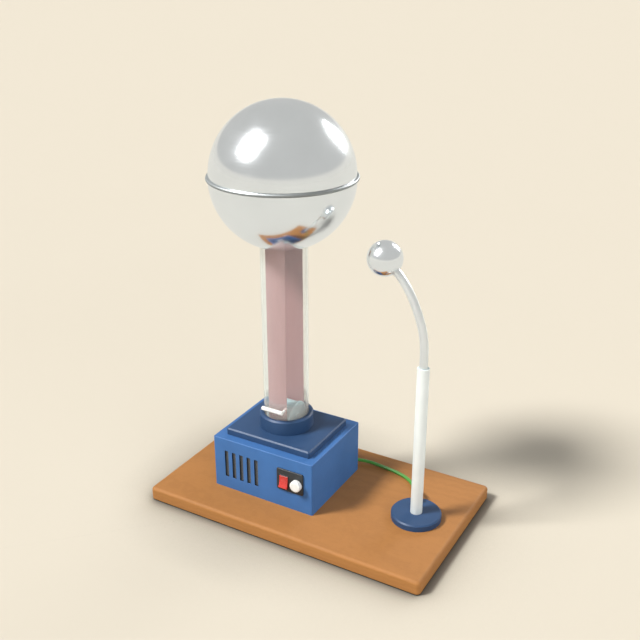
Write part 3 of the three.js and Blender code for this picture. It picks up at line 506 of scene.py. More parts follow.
def stack(outline, levels, holes=(), axis="z", centre=(0, 0, 0)):
    """A closed solid: an outline carried through (height, outset) levels, with holes of (outline, levels)."""
    outline = list(outline) if area2(list(outline)) > 0 else list(outline)[::-1]
    verts, faces = [], []

    def tower(loop, lev, inward):
        rows = []
        for h, d in lev:
            rows.append(list(range(len(verts), len(verts) + len(loop))))
            verts.extend(put(axis, a, b, h) for a, b in widen(loop, d))
        for lo, hi in zip(rows, rows[1:]):
            for k in range(len(loop)):
                j = (k + 1) % len(loop)
                f = [lo[k], lo[j], hi[j], hi[k]]
                faces.append(f[::-1] if inward else f)
        return rows[0], rows[-1]

    ends = [tower(outline, levels, False)]
    for loop, lev in holes:
        loop = list(loop) if area2(list(loop)) > 0 else list(loop)[::-1]
        ends.append(tower(loop, lev, True))
    pick = {"z": (0, 1), "y": (0, 2), "x": (1, 2)}[axis]
    for side in (0, 1):
        rows = [e[side] for e in ends]
        flat = [q for r in rows for q in r]
        tris = tessellate_polygon([[Vector((verts[q][pick[0]], verts[q][pick[1]], 0)) for q in r] for r in rows])
        for t in tris:
            f = [flat[k] for k in t]
            a, b, c = (verts[q] for q in f)
            s = (b[pick[0]] - a[pick[0]]) * (c[pick[1]] - a[pick[1]]) - (c[pick[0]] - a[pick[0]]) * (b[pick[1]] - a[pick[1]])
            if abs(s) < 1e-12:
                continue
            faces.append(f if (s > 0) == (side == 1) else f[::-1])
    if volume_sign(verts, faces) < 0:
        faces = [f[::-1] for f in faces]
    verts = [(x + centre[0], y + centre[1], z + centre[2]) for x, y, z in verts]
    return verts, faces


def circle(cx, cy, r, n=32, turn=0.0):
    return [(cx + r * math.cos(2 * math.pi * (k + turn) / n), cy + r * math.sin(2 * math.pi * (k + turn) / n)) for k in range(n)]


def rect(x0, x1, y0, y1, r=0.0, seg=4):
    return fillet([(x0, y0), (x1, y0), (x1, y1), (x0, y1)], r, True, seg) if r > 0 else [(x0, y0), (x1, y0), (x1, y1), (x0, y1)]


def smooth_line(points, per=8):
    """A centripetal Catmull-Rom curve through the points."""
    P = [Vector(p) for p in points]
    out = []
    for i in range(len(P) - 1):
        p1, p2 = P[i], P[i + 1]
        p0 = P[i - 1] if i > 0 else p1 * 2 - p2
        p3 = P[i + 2] if i + 2 < len(P) else p2 * 2 - p1
        d0, d1, d2 = ((b - a).length ** 0.5 for a, b in ((p0, p1), (p1, p2), (p2, p3)))
        t1 = ((p1 - p0) / d0 - (p2 - p0) / (d0 + d1) + (p2 - p1) / d1) * d1
        t2 = ((p2 - p1) / d1 - (p3 - p1) / (d1 + d2) + (p3 - p2) / d2) * d1
        for k in range(per):
            t = k / per
            out.append(p1 + t1 * t + (p1 * -3 + p2 * 3 - t1 * 2 - t2) * t * t + (p1 * 2 - p2 * 2 + t1 + t2) * t ** 3)
    out.append(P[-1])
    return out


def evenly(line, n):
    """n + 1 points at equal steps along a line of points."""
    d = [0.0]
    for a, b in zip(line, line[1:]):
        d.append(d[-1] + (b - a).length)
    out, j = [], 0
    for k in range(n + 1):
        s = d[-1] * k / n
        while j < len(d) - 2 and d[j + 1] < s:
            j += 1
        f = 0 if d[j + 1] == d[j] else (s - d[j]) / (d[j + 1] - d[j])
        out.append(line[j].lerp(line[j + 1], min(1.0, f)))
    return out, d[-1]


def sweep(line, radius, sides=16, closed=False, ends=True, first=None):
    """A round section carried along a line of points. radius is one number or one for each point."""
    n = len(line)
    radii = radius if hasattr(radius, "__len__") else [radius] * n
    tangents = []
    for i in range(n):
        a = line[i - 1] if (i > 0 or closed) else line[i]
        b = line[(i + 1) % n] if (i < n - 1 or closed) else line[i]
        tangents.append((b - a).normalized())
    up = Vector(first) if first else (Vector((0, 0, 1)) if abs(tangents[0].z) < 0.9 else Vector((0, 1, 0)))
    u = (up - tangents[0] * up.dot(tangents[0])).normalized()
    verts, rows = [], []
    for i in range(n):
        t = tangents[i]
        if i:
            u = (u - t * u.dot(t)).normalized()
        w = t.cross(u)
        rows.append(list(range(len(verts), len(verts) + sides)))
        for k in range(sides):
            a = 2 * math.pi * k / sides
            p = line[i] + (u * math.cos(a) + w * math.sin(a)) * radii[i]
            verts.append(tuple(p))
    faces = []
    pairs = list(zip(rows, rows[1:])) + ([(rows[-1], rows[0])] if closed else [])
    for lo, hi in pairs:
        for k in range(sides):
            j = (k + 1) % sides
            faces.append([lo[k], lo[j], hi[j], hi[k]])
    if ends and not closed:
        for row, sign in ((rows[0], -1), (rows[-1], 1)):
            verts.append(tuple(line[0] if sign < 0 else line[-1]))
            c = len(verts) - 1
            for k in range(sides):
                j = (k + 1) % sides
                faces.append([row[j], row[k], c] if sign < 0 else [row[k], row[j], c])
    if volume_sign(verts, faces) < 0:
        faces = [f[::-1] for f in faces]
    return verts, faces


def rod_between(a, b, r, n=24, edge=0.0):
    """A round bar between two points with rounded ends."""
    a, b = Vector(a), Vector(b)
    length = (b - a).length
    e = min(edge, r * 0.9, length * 0.45)
    profile = [(0, 0)] + ([(r - e * (1 - math.sin(math.pi / 2 * k / 4)), e * (1 - math.cos(math.pi / 2 * k / 4))) for k in range(5)] if e > 0 else [(r, 0)])
    top = [(rr, length - h) for rr, h in profile[1:]][::-1] + [(0, length)]
    verts, faces = lathe(profile + top, n)
    q = Vector((0, 0, 1)).rotation_difference((b - a).normalized())
    return [tuple(q @ Vector(p) + a) for p in verts], faces


def merge(*parts):
    verts, faces = [], []
    for v, f in parts:
        k = len(verts)
        verts += list(v)
        faces += [[q + k for q in g] for g in f]
    return verts, faces


def make(name, data, look, body=None, stands_for=(), angle=32, weighted=False, looks=()):
    """A finished piece: smooth where its faces meet at less than the angle."""
    verts, faces = data
    me = bpy.data.meshes.new(name)
    me.from_pydata([(x * MM, y * MM, z * MM) for x, y, z in verts], [], faces)
    me.validate()
    me.polygons.foreach_set("use_smooth", [True] * len(me.polygons))
    me.set_sharp_from_angle(angle=math.radians(angle))
    me.update()
    ob = bpy.data.objects.new(name, me)
    scene.collection.objects.link(ob)
    for one in (look, *looks):
        me.materials.append(one.mat)
    if weighted:
        even_out(ob)
    if body:
        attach(ob, body)
    if stands_for:
        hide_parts(*([stands_for] if isinstance(stands_for, str) else stands_for))
    return ob


def even_out(ob):
    m = ob.modifiers.new("normals", "WEIGHTED_NORMAL")
    m.mode, m.weight, m.keep_sharp = "FACE_AREA", 60, True


def boolean(data, tools, how="DIFFERENCE"):
    """Cuts or joins with exact booleans and returns plain (verts, faces)."""

    def temp(d, name):
        me = bpy.data.meshes.new(name)
        me.from_pydata([tuple(p) for p in d[0]], [], d[1])
        me.validate()
        ob = bpy.data.objects.new(name, me)
        scene.collection.objects.link(ob)
        return ob

    ob = temp(data, "work")
    helpers = []
    for i, t in enumerate(tools):
        h = temp(t[0] if isinstance(t[1], str) else t, f"tool{i}")
        helpers.append(h)
        m = ob.modifiers.new(f"b{i}", "BOOLEAN")
        m.object, m.solver = h, "EXACT"
        m.operation = t[1] if isinstance(t[1], str) else how
    dg = bpy.context.evaluated_depsgraph_get()
    dg.update()
    ev = ob.evaluated_get(dg)
    me = ev.to_mesh()
    bm = bmesh.new()
    bm.from_mesh(me)
    bmesh.ops.remove_doubles(bm, verts=bm.verts, dist=1e-4)
    bmesh.ops.dissolve_degenerate(bm, dist=1e-4, edges=bm.edges)
    bm.verts.ensure_lookup_table()
    verts = [tuple(q.co) for q in bm.verts]
    faces = [[q.index for q in f.verts] for f in bm.faces]
    bm.free()
    ev.to_mesh_clear()
    for h in [ob, *helpers]:
        me = h.data
        bpy.data.objects.remove(h)
        bpy.data.meshes.remove(me)
    return verts, faces


def cad(node, look, angle=28, edge=0.0):
    """Keeps a CAD node and gives it a finish and, when edge is given, small rounded edges."""
    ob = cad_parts[node]
    ob.data.materials.clear()
    ob.data.materials.append(look.mat)
    if edge > 0:
        m = ob.modifiers.new("edges", "BEVEL")
        m.width, m.segments, m.limit_method, m.angle_limit = edge * MM, 2, "ANGLE", math.radians(40)
        m.use_clamp_overlap = True
    return ob


# ------------------------------------------------------------- the green lead

d_a, lug_ay = (0.8, 0.0, -0.6), 87.6
a_end = (TERM_X + d_a[0] * 16.5, lug_ay, TERM_Z + d_a[2] * 16.5)
d_b, lug_bz = (-0.28, 0.96), 38.9
b_end = (WTERM[0] + d_b[0] * 14.5, WTERM[1] + d_b[1] * 14.5, lug_bz)
LEAD = [
    (a_end[0] + d_a[0] * 0.35, lug_ay, a_end[2] + d_a[2] * 0.35), (2.09, 87.85, 38.05), (6.95, 89.23, 35.25),
    (17.84, 94.97, 31.95), (29.45, 100.11, 30.52), (41.82, 103.06, 29.38), (54.52, 104.01, 28.28), (67.27, 103.62, 27.54),
    (80.0, 102.4, 27.1), (92.64, 100.5, 27.1), (105.06, 97.45, 27.1), (117.08, 93.12, 27.1), (128.0, 86.51, 27.1),
    (137.66, 78.14, 27.25), (146.72, 69.39, 29.34), (155.01, 60.66, 33.6), (161.62, 50.61, 37.84),
    (163.84, 45.34, 38.75), (b_end[0] + d_b[0] * 0.4, b_end[1] + d_b[1] * 0.4, lug_bz),
]
lead_line, lead_length = evenly(smooth_line(LEAD, 16), 96)
curve = bpy.data.curves.new("earth_lead_flex", "CURVE")
curve.dimensions, curve.bevel_depth, curve.bevel_resolution, curve.use_fill_caps = "3D", LEAD_R * MM, 5, True
spline = curve.splines.new("POLY")
spline.points.add(len(lead_line) - 1)
for q, p in zip(spline.points, lead_line):
    q.co = (p.x * MM, p.y * MM, p.z * MM, 1)
spline.use_smooth = True
lead = bpy.data.objects.new("earth_lead_flex", curve)
scene.collection.objects.link(lead)
curve.materials.append(pvc.mat)
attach(lead, "stand")
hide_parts("earth_lead")

# ring lugs: flat tongue with a hole, a neck, and a barrel crimped on the flex


def lug(name, centre, across, along, normal, ring_r, hole_r, ring_h, neck, barrel_h, barrel_r, barrel, thick, node):
    """centre of the ring; along points to the flex; normal across the flat. Distances are along these."""
    c, al, no = Vector(centre), Vector(along).normalized(), Vector(normal).normalized()
    ac = no.cross(al)
    outline = []
    for k in range(33):
        a = math.radians(28) + math.radians(304) * k / 32
        outline.append((ring_r * math.cos(a), ring_r * math.sin(a)))
    outline += [(neck, -barrel_r * 0.86), (neck, barrel_r * 0.86)]
    flat = stack(fillet(outline, 0.25, True, 2), edge_levels(-thick / 2, thick / 2, 0.22, None, 3),
                 [(circle(0, 0, hole_r, 32), [(-thick / 2, 0.15), (-thick / 2 + 0.15, 0), (thick / 2 - 0.15, 0), (thick / 2, 0.15)])])
    body = [tuple(c + al * x + ac * y + no * (z + ring_h)) for x, y, z in flat[0]]
    line = [c + al * s + no * barrel_h for s in np.linspace(barrel[0], barrel[1], 21)]
    radii = []
    for i, s in enumerate(np.linspace(0, 1, 21)):
        dent = 0.42 * math.exp(-((s - 0.40) / 0.11) ** 2) + 0.42 * math.exp(-((s - 0.72) / 0.11) ** 2)
        lip = 0.16 if i in (0, 20) else 0.0
        radii.append(barrel_r - dent - lip)
    tube = sweep(line, radii, 24)
    ramp_pts = [c + al * (neck - 0.8) + no * ring_h, c + al * (neck + 0.6) + no * (ring_h * 0.6 + barrel_h * 0.4), c + al * (barrel[0] + 1.0) + no * barrel_h]
    throat = sweep(ramp_pts, [thick * 0.48, barrel_r * 0.6, barrel_r * 0.9], 20)
    return make(name, merge((body, flat[1]), tube, throat), tin, "stand", node, 35)


lug_a = lug("lug_at_housing", (TERM_X, 85.3, TERM_Z), None, d_a, (0, 1, 0), 6.0, 2.9, 0.0, 8.0, lug_ay - 85.3, 3.0, (8.8, 16.4), 1.38, "lug_housing")
lug_b = lug("lug_at_stand", (*WTERM, 36.6), None, (*d_b, 0), (0, 0, 1), 5.2, 2.4, 0.0, 6.8, lug_bz - 36.6, 2.9, (7.6, 14.4), 1.38, "lug_wand")

# ------------------------------------------------------------- board and feet

boss_x, boss_y = (HX0 + WALL + 8, HX1 - WALL - 8), (HY0 + WALL + 8, HY1 - WALL - 8)
bosses = [(boss_x[0], boss_y[0]), (boss_x[1], boss_y[0]), (boss_x[0], boss_y[1]), (boss_x[1], boss_y[1])]
screw_at = [*bosses, (WX, WY)]
make("board", stack(
    rect(-BOARD_X, BOARD_X, -BOARD_Y, BOARD_Y, 7.0, 8), edge_levels(BOARD_Z0, BOARD_Z1, 1.2, 5.5, 8),
    [(circle(x, y, 2.6, 24), [(BOARD_Z0, 2.8), (11.0, 2.8), (11.0, 0.0), (BOARD_Z1, 0.0)]) for x, y in screw_at]),
    wood, "stand", "base_board", 34, True)
for name, sx, sy in (("front_left", -1, -1), ("front_right", 1, -1), ("rear_left", -1, 1), ("rear_right", 1, 1)):
    make("pad_" + name, lathe(fillet([(0, 0.35, 0), (3.0, 0.35, 0.2), (3.6, 0, 0.2), (10.2, 0, 0.7), (11.0, 0.9, 0.4), (11.0, BOARD_Z0, 0), (0, BOARD_Z0, 0)], 0, False, 4), 48,
                               centre=(sx * (BOARD_X - 24), sy * (BOARD_Y - 24), 0)), rubber, "stand", "foot_" + name)

# -------------------------------------------------------------------- housing

cz1 = HZ0 + 3.0
outer = stack(rect(HX0, HX1, HY0, HY1, 2.4, 6), edge_levels(HZ0, HZ1, 0.0, 1.3, 5))
hollow = stack(rect(HX0 + WALL, HX1 - WALL, HY0 + WALL, HY1 - WALL, 2.0, 3), [(HZ0 - 5, 0), (HZ1 - WALL, 0)])
lip = 0.45


def window(outline, y_face, out):
    """A cutter through the front (out = -1) or rear (out = 1) wall with a rounded lip on the outside."""
    back = y_face - out * (WALL + 2.0)
    face = [(y_face + out * 1.0, lip + 1.0), (y_face, lip), (y_face - out * 0.13, lip * 0.45), (y_face - out * lip, 0.0), (back, 0.0)]
    return stack(outline, face if out < 0 else face[::-1], axis="y")


vents = [window(rect(x, x + 7.0, 46.0, 95.2, 0.9, 3), HY0, -1) for x in [-137.7 + 14.66 * i for i in range(5)]]
rear_vents = [window(rect(x, x + 6.4, 46.0, 95.2, 0.9, 3), HY1, 1) for x in [-142 + 14.66 * i for i in range(4)]]
posts = [(lathe([(0, cz1 + 0.3), (5.5, cz1 + 0.3), (5.5, HZ1 - WALL + 1), (0, HZ1 - WALL + 1)], 24, centre=(x, y, 0)), "UNION") for x, y in bosses]
pilots = [lathe([(0, cz1 - 3), (2.4, cz1 - 3), (2.4, 66), (0, 66)], 16, centre=(x, y, 0)) for x, y in bosses]
shell = boolean(outer, [
    hollow, *posts, *pilots, *vents, *rear_vents,
    lathe([(0, HZ1 - 10), (36.6, HZ1 - 10), (36.6, HZ1 + 5), (0, HZ1 + 5)], 96, centre=(AX, AY, 0)),
    stack(rect(ROCK_X - 9.5, ROCK_X + 9.5, ROCK_Z - 12.8, ROCK_Z + 12.8), [(HY0 - 2, 0), (HY0 + WALL + 1, 0)], axis="y"),
    lathe([(0, HY0 - 2), (5.1, HY0 - 2), (5.1, HY0 + WALL + 1), (0, HY0 + WALL + 1)], 32, "y", (KNOB_X, 0, KNOB_Z)),
    stack(rect(INLET_X - 15.4, INLET_X + 15.4, INLET_Z - 11.4, INLET_Z + 11.4), [(HY1 - WALL - 1, 0), (HY1 + 2, 0)], axis="y"),
    lathe([(0, HY1 - WALL - 1), (6.4, HY1 - WALL - 1), (6.4, HY1 + 2), (0, HY1 + 2)], 32, "y", (TERM_X, 0, TERM_Z)),
])
housing = make("housing", shell, blue, "stand", "housing_shell", 34, True, looks=(housing_inside_painted_shade,))


def depth_in(x, y, r):
    """Distance to a corner region rounded by r, negative inside it."""
    return math.hypot(max(x + r, 0), max(y + r, 0)) + min(max(x + r, y + r), 0) - r


# painted shade: faces more than 0.5 mm in from the outer skin, the inside and the slot walls, take the near-black
# material
for p in housing.data.polygons:
    c = p.center / MM
    wall = depth_in(abs(c.x - (HX0 + HX1) / 2) - (HX1 - HX0) / 2, abs(c.y - (HY0 + HY1) / 2) - (HY1 - HY0) / 2, 2.4)
    p.material_index = 1 if depth_in(wall, c.z - HZ1, 1.3) < -0.5 else 0

make("filter_pad", stack(rect(-139.4, -70.0, 43.5, 97.5, 1.0, 3), edge_levels(HY0 + WALL, HY0 + WALL + 2, 0.0, 0.5, 2), axis="y"), foam, "stand", "vent_filter", 34)

make("lid_plate", stack(
    rect(PX0, PX1, PY0, PY1, 3.0, 5), [(HZ1, -0.35), (HZ1 + 0.12, -0.1), (HZ1 + 0.35, 0), (PZ1 - 2.0, 0), (PZ1, -2.0)],
    [(circle(AX, AY, TUBE_IN, 96), [(HZ1, 0), (PZ1, 0)])]), navy, "stand", "top_plate", 34, True)

make("collar", lathe(fillet([
    (TUBE_R + 0.3, PZ1, 0), (COLLAR_R, PZ1, 0.3), (COLLAR_R, COLLAR_Z1 - 2.4, 0), (COLLAR_R - 2.4, COLLAR_Z1, 0), (TUBE_R + 0.3, COLLAR_Z1, 1.0)], 0, True, 6), 128, centre=(AX, AY, 0)),
    navy, "stand", "column_collar", 34)

# ------------------------------------------------------- comb rod and column

stub_a, stub_b = Vector((COMB_X1, COMB_Y, COMB_Z)), Vector((COMB_X1 + 0.5, -29.9, COMB_Z + 1.8))
bend = smooth_line([stub_a + Vector((-5.5, 0, 0)), stub_a + Vector((-1.5, 0.1, 0)), stub_a + Vector((0.1, 1.9, 0.25)), stub_a.lerp(stub_b, 0.45), stub_a.lerp(stub_b, 0.72), stub_b], 5)
make("charge_rod", merge(
    rod_between((COMB_X0, COMB_Y, COMB_Z), (COMB_X1 + 1.6, COMB_Y, COMB_Z), 3.5, 32, 0.9),
    rod_between(stub_a, stub_b, 1.9, 24, 0.5)), white, "stand", "comb_rod")
g0, g1 = stub_a.lerp(stub_b, 0.55), stub_a.lerp(stub_b, 0.94)
gl = (g1 - g0).length
gv, gf = lathe(fillet([(2.2, 0, 0.15), (2.9, 0, 0.3), (2.9, gl, 0.3), (2.2, gl, 0.15)], 0, True, 3), 32)
gq = Vector((0, 0, 1)).rotation_difference((g1 - g0).normalized())
make("rod_grommet", ([tuple(gq @ Vector(p) + g0) for p in gv], gf), grommet_look, "stand", "comb_grommet")

tube = lathe(fillet([(TUBE_IN, PZ1, 0.2), (TUBE_R, PZ1, 0.2), (TUBE_R, TUBE_Z1, 0.4), (TUBE_IN, TUBE_Z1, 0.4)], 0, True, 2), 160, centre=(AX, AY, 0))
cuts = [rod_between(stub_a.lerp(stub_b, 0.3), stub_a.lerp(stub_b, 1.2), 3.2, 32)]
for s in (-1, 1):
    x0 = AX + (30 if s > 0 else -44)
    slot_line = [(AY + 4.35 * math.cos(a), UPPER_Z + 4.35 * math.sin(a)) for a in np.linspace(-math.pi, 0, 17)] + [(AY + 4.35, TUBE_Z1 + 5), (AY - 4.35, TUBE_Z1 + 5)]
    cuts.append(stack(slot_line, [(x0, 0), (x0 + 14, 0)], axis="x"))
make("tube_clear", boolean(tube, cuts), clear, "stand", "column_tube", 40)

# ------------------------------------------------------------ belt and rollers


def loop(cy, z_low, r_low, z_high, r_high, n):
    out, lean = [], math.asin((r_high - r_low) / (z_high - z_low))
    for i in range(n + 1):
        a = -lean + (math.pi + 2 * lean) * i / n
        out.append((cy + r_high * math.cos(a), z_high + r_high * math.sin(a)))
    for i in range(n + 1):
        a = math.pi + lean + (math.pi - 2 * lean) * i / n
        out.append((cy + r_low * math.cos(a), z_low + r_low * math.sin(a)))
    return out


belt_out = loop(AY, LOWER_Z, BELT_IN + BELT_T, UPPER_Z, BELT_IN + BELT_T, 40)
belt_in = loop(AY, LOWER_Z, BELT_IN, UPPER_Z, BELT_IN, 40)
bx0, bx1 = AX - BELT_HALF, AX + BELT_HALF
belt_ob = make("belt_loop", stack(belt_out, edge_levels(bx0, bx1, 0.3, None, 2), [(belt_in, [(bx0, 0.3), (bx0 + 0.15, 0.1), (bx0 + 0.3, 0), (bx1 - 0.3, 0), (bx1 - 0.15, 0.1), (bx1, 0.3)])], "x"),
     belt_look, "stand", "belt", 30, looks=(belt_back_painted_shade,))
# painted shade: faces on the inside of the loop take the darker copy of the belt fabric
for p in belt_ob.data.polygons:
    c = p.center / MM
    if c.z > UPPER_Z or c.z < LOWER_Z:
        out_of = math.hypot(c.y - AY, c.z - (UPPER_Z if c.z > UPPER_Z else LOWER_Z))
    else:
        out_of = abs(c.y - AY)
    p.material_index = 1 if out_of < BELT_IN + 0.3 else 0

crown_low = [(26.0 - 0.4 * (h / 18.2) ** 2, h) for h in np.linspace(-18.2, 18.2, 17)]
crown_high = [(26.0 - 0.5 * (h / 21.0) ** 2, h) for h in np.linspace(-20.4, 20.4, 17)]
rim = [(26.2, 22.0), (26.9, 21.7), (27.5, 21.2), (27.75, 20.7), (27.8, 20.2), (27.8, 19.0), (27.7, 18.7), (27.4, 18.5)]
make("roller_low", lathe(
    [(0, 22), (8.2, 22), (8.8, 21.2), (21.0, 21.2), (21.6, 22)] + rim + crown_low[::-1] +
    [(r, -h) for r, h in rim[::-1]] + fillet([(14.0, -22, 0), (13.5, -22.4, 0.2), (13.5, -22.8, 0.2), (15.3, -23.0, 0.2), (15.5, -23.5, 0.2), (12.0, -24.6, 0.5), (12.0, -28.4, 0.5), (15.5, -29.5, 0.2), (15.4, -30.0, 0.2), (4.35, -30.0, 0)], 0, False, 3) +
    [(4.35, 17), (0, 17)], 96, "x", (AX, AY, LOWER_Z)), nylon, "lower_drive", "lower_roller", 34)
make("axle_low", lathe(fillet([(0, -34, 0), (4, -34, 0.5), (4, 16, 0.5), (0, 16, 0)], 0, False, 3), 40, "x", (AX, AY, LOWER_Z)), steel, "stand", "lower_axle")
make("roller_high", lathe(
    [(4.35, 22), (8.2, 22), (8.8, 21.2), (21.0, 21.2), (21.6, 22), (24.2, 22.0), (24.8, 21.7), (25.3, 21.2)] + crown_high[::-1] +
    [(25.3, -21.2), (24.8, -21.7), (24.2, -22.0), (21.6, -22), (21.0, -21.2), (8.8, -21.2), (8.2, -22), (4.35, -22)], 96, "x", (AX, AY, UPPER_Z)),
    nylon, "upper_idler", "upper_roller", 34)
make("axle_high", lathe(fillet([(0, -43, 0), (4, -43, 0.5), (4, 43, 0.5), (0, 43, 0)], 0, False, 3), 40, "x", (AX, AY, UPPER_Z)), steel, "stand", "upper_axle")

b0 = AX - 34.0
upright = fillet([
    (AY - 20, cz1, 0), (AY + 20, cz1, 0), (AY + 20, 104, 3), (AY + 6.5, 112, 3), (AY + 6.5, LOWER_Z + 6.5, 4), (AY - 6.5, LOWER_Z + 6.5, 4),
    (AY - 6.5, 112, 3), (AY - 20, 104, 3)], 0, True, 5)
make("bracket_roller", merge(
    stack(upright, edge_levels(b0, b0 + 2.8, 0.3, None, 2), [(circle(AY, LOWER_Z, 4.35, 32), [(b0, 0.2), (b0 + 0.2, 0), (b0 + 2.6, 0), (b0 + 2.8, 0.2)])], "x"),
    stack(rect(b0 - 28, b0 + 2.6, AY - 20, AY + 20, 2.0, 3), edge_levels(cz1, cz1 + 2.8, 0.3, None, 2))), zinc_black_painted_shade, "stand", "roller_bracket", 34)

mb = AX - 15.4
make("bracket_motor", merge(
    stack(fillet([(AY - 26, cz1, 0), (AY + 26, cz1, 0), (AY + 26, MOTOR_Z + 28, 7), (AY - 26, MOTOR_Z + 28, 7)], 0, True, 6), edge_levels(mb, mb + 3, 0.3, None, 2),
          [(circle(AY, MOTOR_Z, 8.5, 40), [(mb, 0.2), (mb + 0.2, 0), (mb + 2.8, 0), (mb + 3, 0.2)])], "x"),
    stack(rect(mb + 0.2, mb + 38, AY - 26, AY + 26, 2.0, 3), edge_levels(cz1, cz1 + 3, 0.3, None, 2))), zinc_black_painted_shade, "stand", "motor_bracket", 34)
make("motor", lathe(fillet([
    (3.4, mb - 1.2, 0.2), (8, mb - 1.2, 0.5), (8, mb + 3.3, 0), (MOTOR_R_ := 23.0, mb + 3.3, 1.5), (23.0, mb + 11, 0.3), (22.3, mb + 11.6, 0.3), (22.3, mb + 54, 0.3),
    (23.0, mb + 54.6, 0.3), (23.0, mb + 64, 2.0), (17, mb + 64, 0), (17, mb + 74, 2.0), (0, mb + 74, 0)], 0, False, 4) + [(0, mb + 30), (3.4, mb + 30), (3.4, mb - 1.2)],
    72, "x", (0, AY, MOTOR_Z)), can, "stand", "motor_body", 34)
make("shaft_motor", lathe(fillet([(0, DRIVE_X - 4.2, 0), (3, DRIVE_X - 4.2, 0.5), (3, mb + 28, 0.3), (0, mb + 28, 0)], 0, False, 3), 32, "x", (0, AY, MOTOR_Z)), steel, "motor_rotor", "motor_shaft")
make("pulley_motor", lathe(fillet([
    (3.3, -3.4, 0), (10.6, -3.4, 0.3), (10.6, -2.8, 0.2), (7, -1.9, 0.8), (7, 1.9, 0.8), (10.6, 2.8, 0.2), (10.6, 3.4, 0.3), (3.3, 3.4, 0)], 0, True, 4), 56, "x", (DRIVE_X, AY, MOTOR_Z)),
    brass, "motor_rotor", "motor_pulley")
ring_line = [Vector((DRIVE_X, y, z)) for y, z in loop(AY, MOTOR_Z, 7 + 0.3 + 1.5, LOWER_Z, 12 + 0.3 + 1.5, 24)]
make("round_belt", sweep(ring_line, 1.5, 16, closed=True, first=(1, 0, 0)), rubber, "stand", "drive_ring", 50)
cad("chassis_plate", zinc, edge=0.3)

# ----------------------------------------------------------------------- dome


def arc(centre, R, z0, z1, n):
    a0, a1 = math.asin((z0 - centre) / R), math.asin((z1 - centre) / R)
    return [(max(0.0, R * math.cos(a0 + (a1 - a0) * i / n)), centre + R * math.sin(a0 + (a1 - a0) * i / n)) for i in range(n + 1)]


dome_in, bowl_in = DOME_R - DOME_T, BOWL_R - DOME_T
mouth_out = BOWL_Z - math.sqrt(BOWL_R ** 2 - MOUTH_R ** 2)
mouth_in = BOWL_Z - math.sqrt(bowl_in ** 2 - MOUTH_R ** 2)
rim_low, rim_high = BEAD_Z - BEAD_R, BEAD_Z + BEAD_R + 0.1
low_out, low_in = arc(BOWL_Z, BOWL_R, mouth_out, rim_low, 40), arc(BOWL_Z, bowl_in, mouth_in, rim_low, 40)
make("dome_half_low", lathe(low_out + low_in[::-1], 192, centre=(AX, AY, 0)), dome_look, "stand", "dome_lower", 40)
up_out, up_in = arc(DOME_Z, DOME_R, rim_high, DOME_Z + DOME_R, 48), arc(DOME_Z, dome_in, rim_high, DOME_Z + dome_in, 48)
up_out[-1], up_in[-1] = (0.0, DOME_Z + DOME_R), (0.0, DOME_Z + dome_in)
make("dome_half_high", lathe(up_out[::-1] + up_in, 192, centre=(AX, AY, 0)), dome_look, "dome_lid", "dome_upper", 40)
bead = [(BEAD_RING + BEAD_R * math.cos(a), BEAD_Z + BEAD_R * math.sin(a)) for a in np.linspace(-math.pi / 2, math.pi / 2, 17)]
make("dome_band", lathe([(108.7, BEAD_Z - 10), (109.9, BEAD_Z - 10), (109.9, BEAD_Z - BEAD_R), *bead, (109.9, BEAD_Z + BEAD_R), (109.9, BEAD_Z + 10), (108.7, BEAD_Z + 10)],
     192, centre=(AX, AY, 0)), ring_look, "stand", "equator_ring", 40)


def seat_r(z):
    return math.sqrt((bowl_in - 0.6) ** 2 - (BOWL_Z - z) ** 2)


make("seat_ring", lathe([(TUBE_R + 0.3, SEAT_Z0 + 0.2), (TUBE_R + 0.5, SEAT_Z0)] + [(seat_r(z), z) for z in np.linspace(SEAT_Z0, SEAT_Z1 - 0.4, 12)] +
     [(seat_r(SEAT_Z1 - 0.4) - 0.4, SEAT_Z1), (TUBE_R + 0.6, SEAT_Z1), (TUBE_R + 0.3, SEAT_Z1 - 0.3)], 96, centre=(AX, AY, 0)), zinc, "stand", "dome_seat", 34)

s_in, s_out, s_top, seat_top = 38.4, 39.9, 557.0, SEAT_Z1
strap = fillet([
    (AX - 52, seat_top + 0.3, 0.3), (AX - s_in, seat_top + 0.3, 0), (AX - s_in, s_top - 1.5, 1.2), (AX + s_in, s_top - 1.5, 1.2), (AX + s_in, seat_top + 0.3, 0),
    (AX + 52, seat_top + 0.3, 0.3), (AX + 52, seat_top + 1.8, 0.5), (AX + s_out, seat_top + 1.8, 0.4), (AX + s_out, s_top, 2.7), (AX - s_out, s_top, 2.7),
    (AX - s_out, seat_top + 1.8, 0.4), (AX - 52, seat_top + 1.8, 0.5)], 0, True, 4)
make("strap", boolean(stack(strap, edge_levels(AY - 6, AY + 6, 0.25, None, 2), axis="y"),
     [lathe([(0, -46), (4.35, -46), (4.35, 46), (0, 46)], 40, "x", (AX, AY, UPPER_Z))]), zinc, "stand", "collector_strap", 34)
teeth = [(-16, s_top - 1.8), (-16, 552.0)]
for i in range(8):
    teeth += [(-14 + 4 * i, 549.7), (-12 + 4 * i, 552.0)]
teeth += [(16, 552.0), (16, s_top - 1.8)]
make("comb_high", stack([(AX + x, z) for x, z in teeth], edge_levels(AY - 1, AY + 1, 0.15, None, 2), axis="y"), brass, "stand", "upper_comb", 20)

# ---------------------------------------------------------------- front panel

make("panel", stack(
    rect(PANEL_X0, PANEL_X1, PANEL_Z0, PANEL_Z1, 2.5, 6), [(HY0, 0), (PANEL_Y + 0.7, 0), (PANEL_Y + 0.3, -0.12), (PANEL_Y + 0.08, -0.38), (PANEL_Y, -0.7)][::-1],
    [(rect(ROCK_X - 9.5, ROCK_X + 9.5, ROCK_Z - 12.8, ROCK_Z + 12.8), [(PANEL_Y, 0.0), (HY0, 0.0)]),
     (circle(KNOB_X, KNOB_Z, 5.1, 40), [(PANEL_Y, 0.25), (PANEL_Y + 0.25, 0), (HY0, 0)])], "y"), black, "stand", "switch_panel", 34, True)

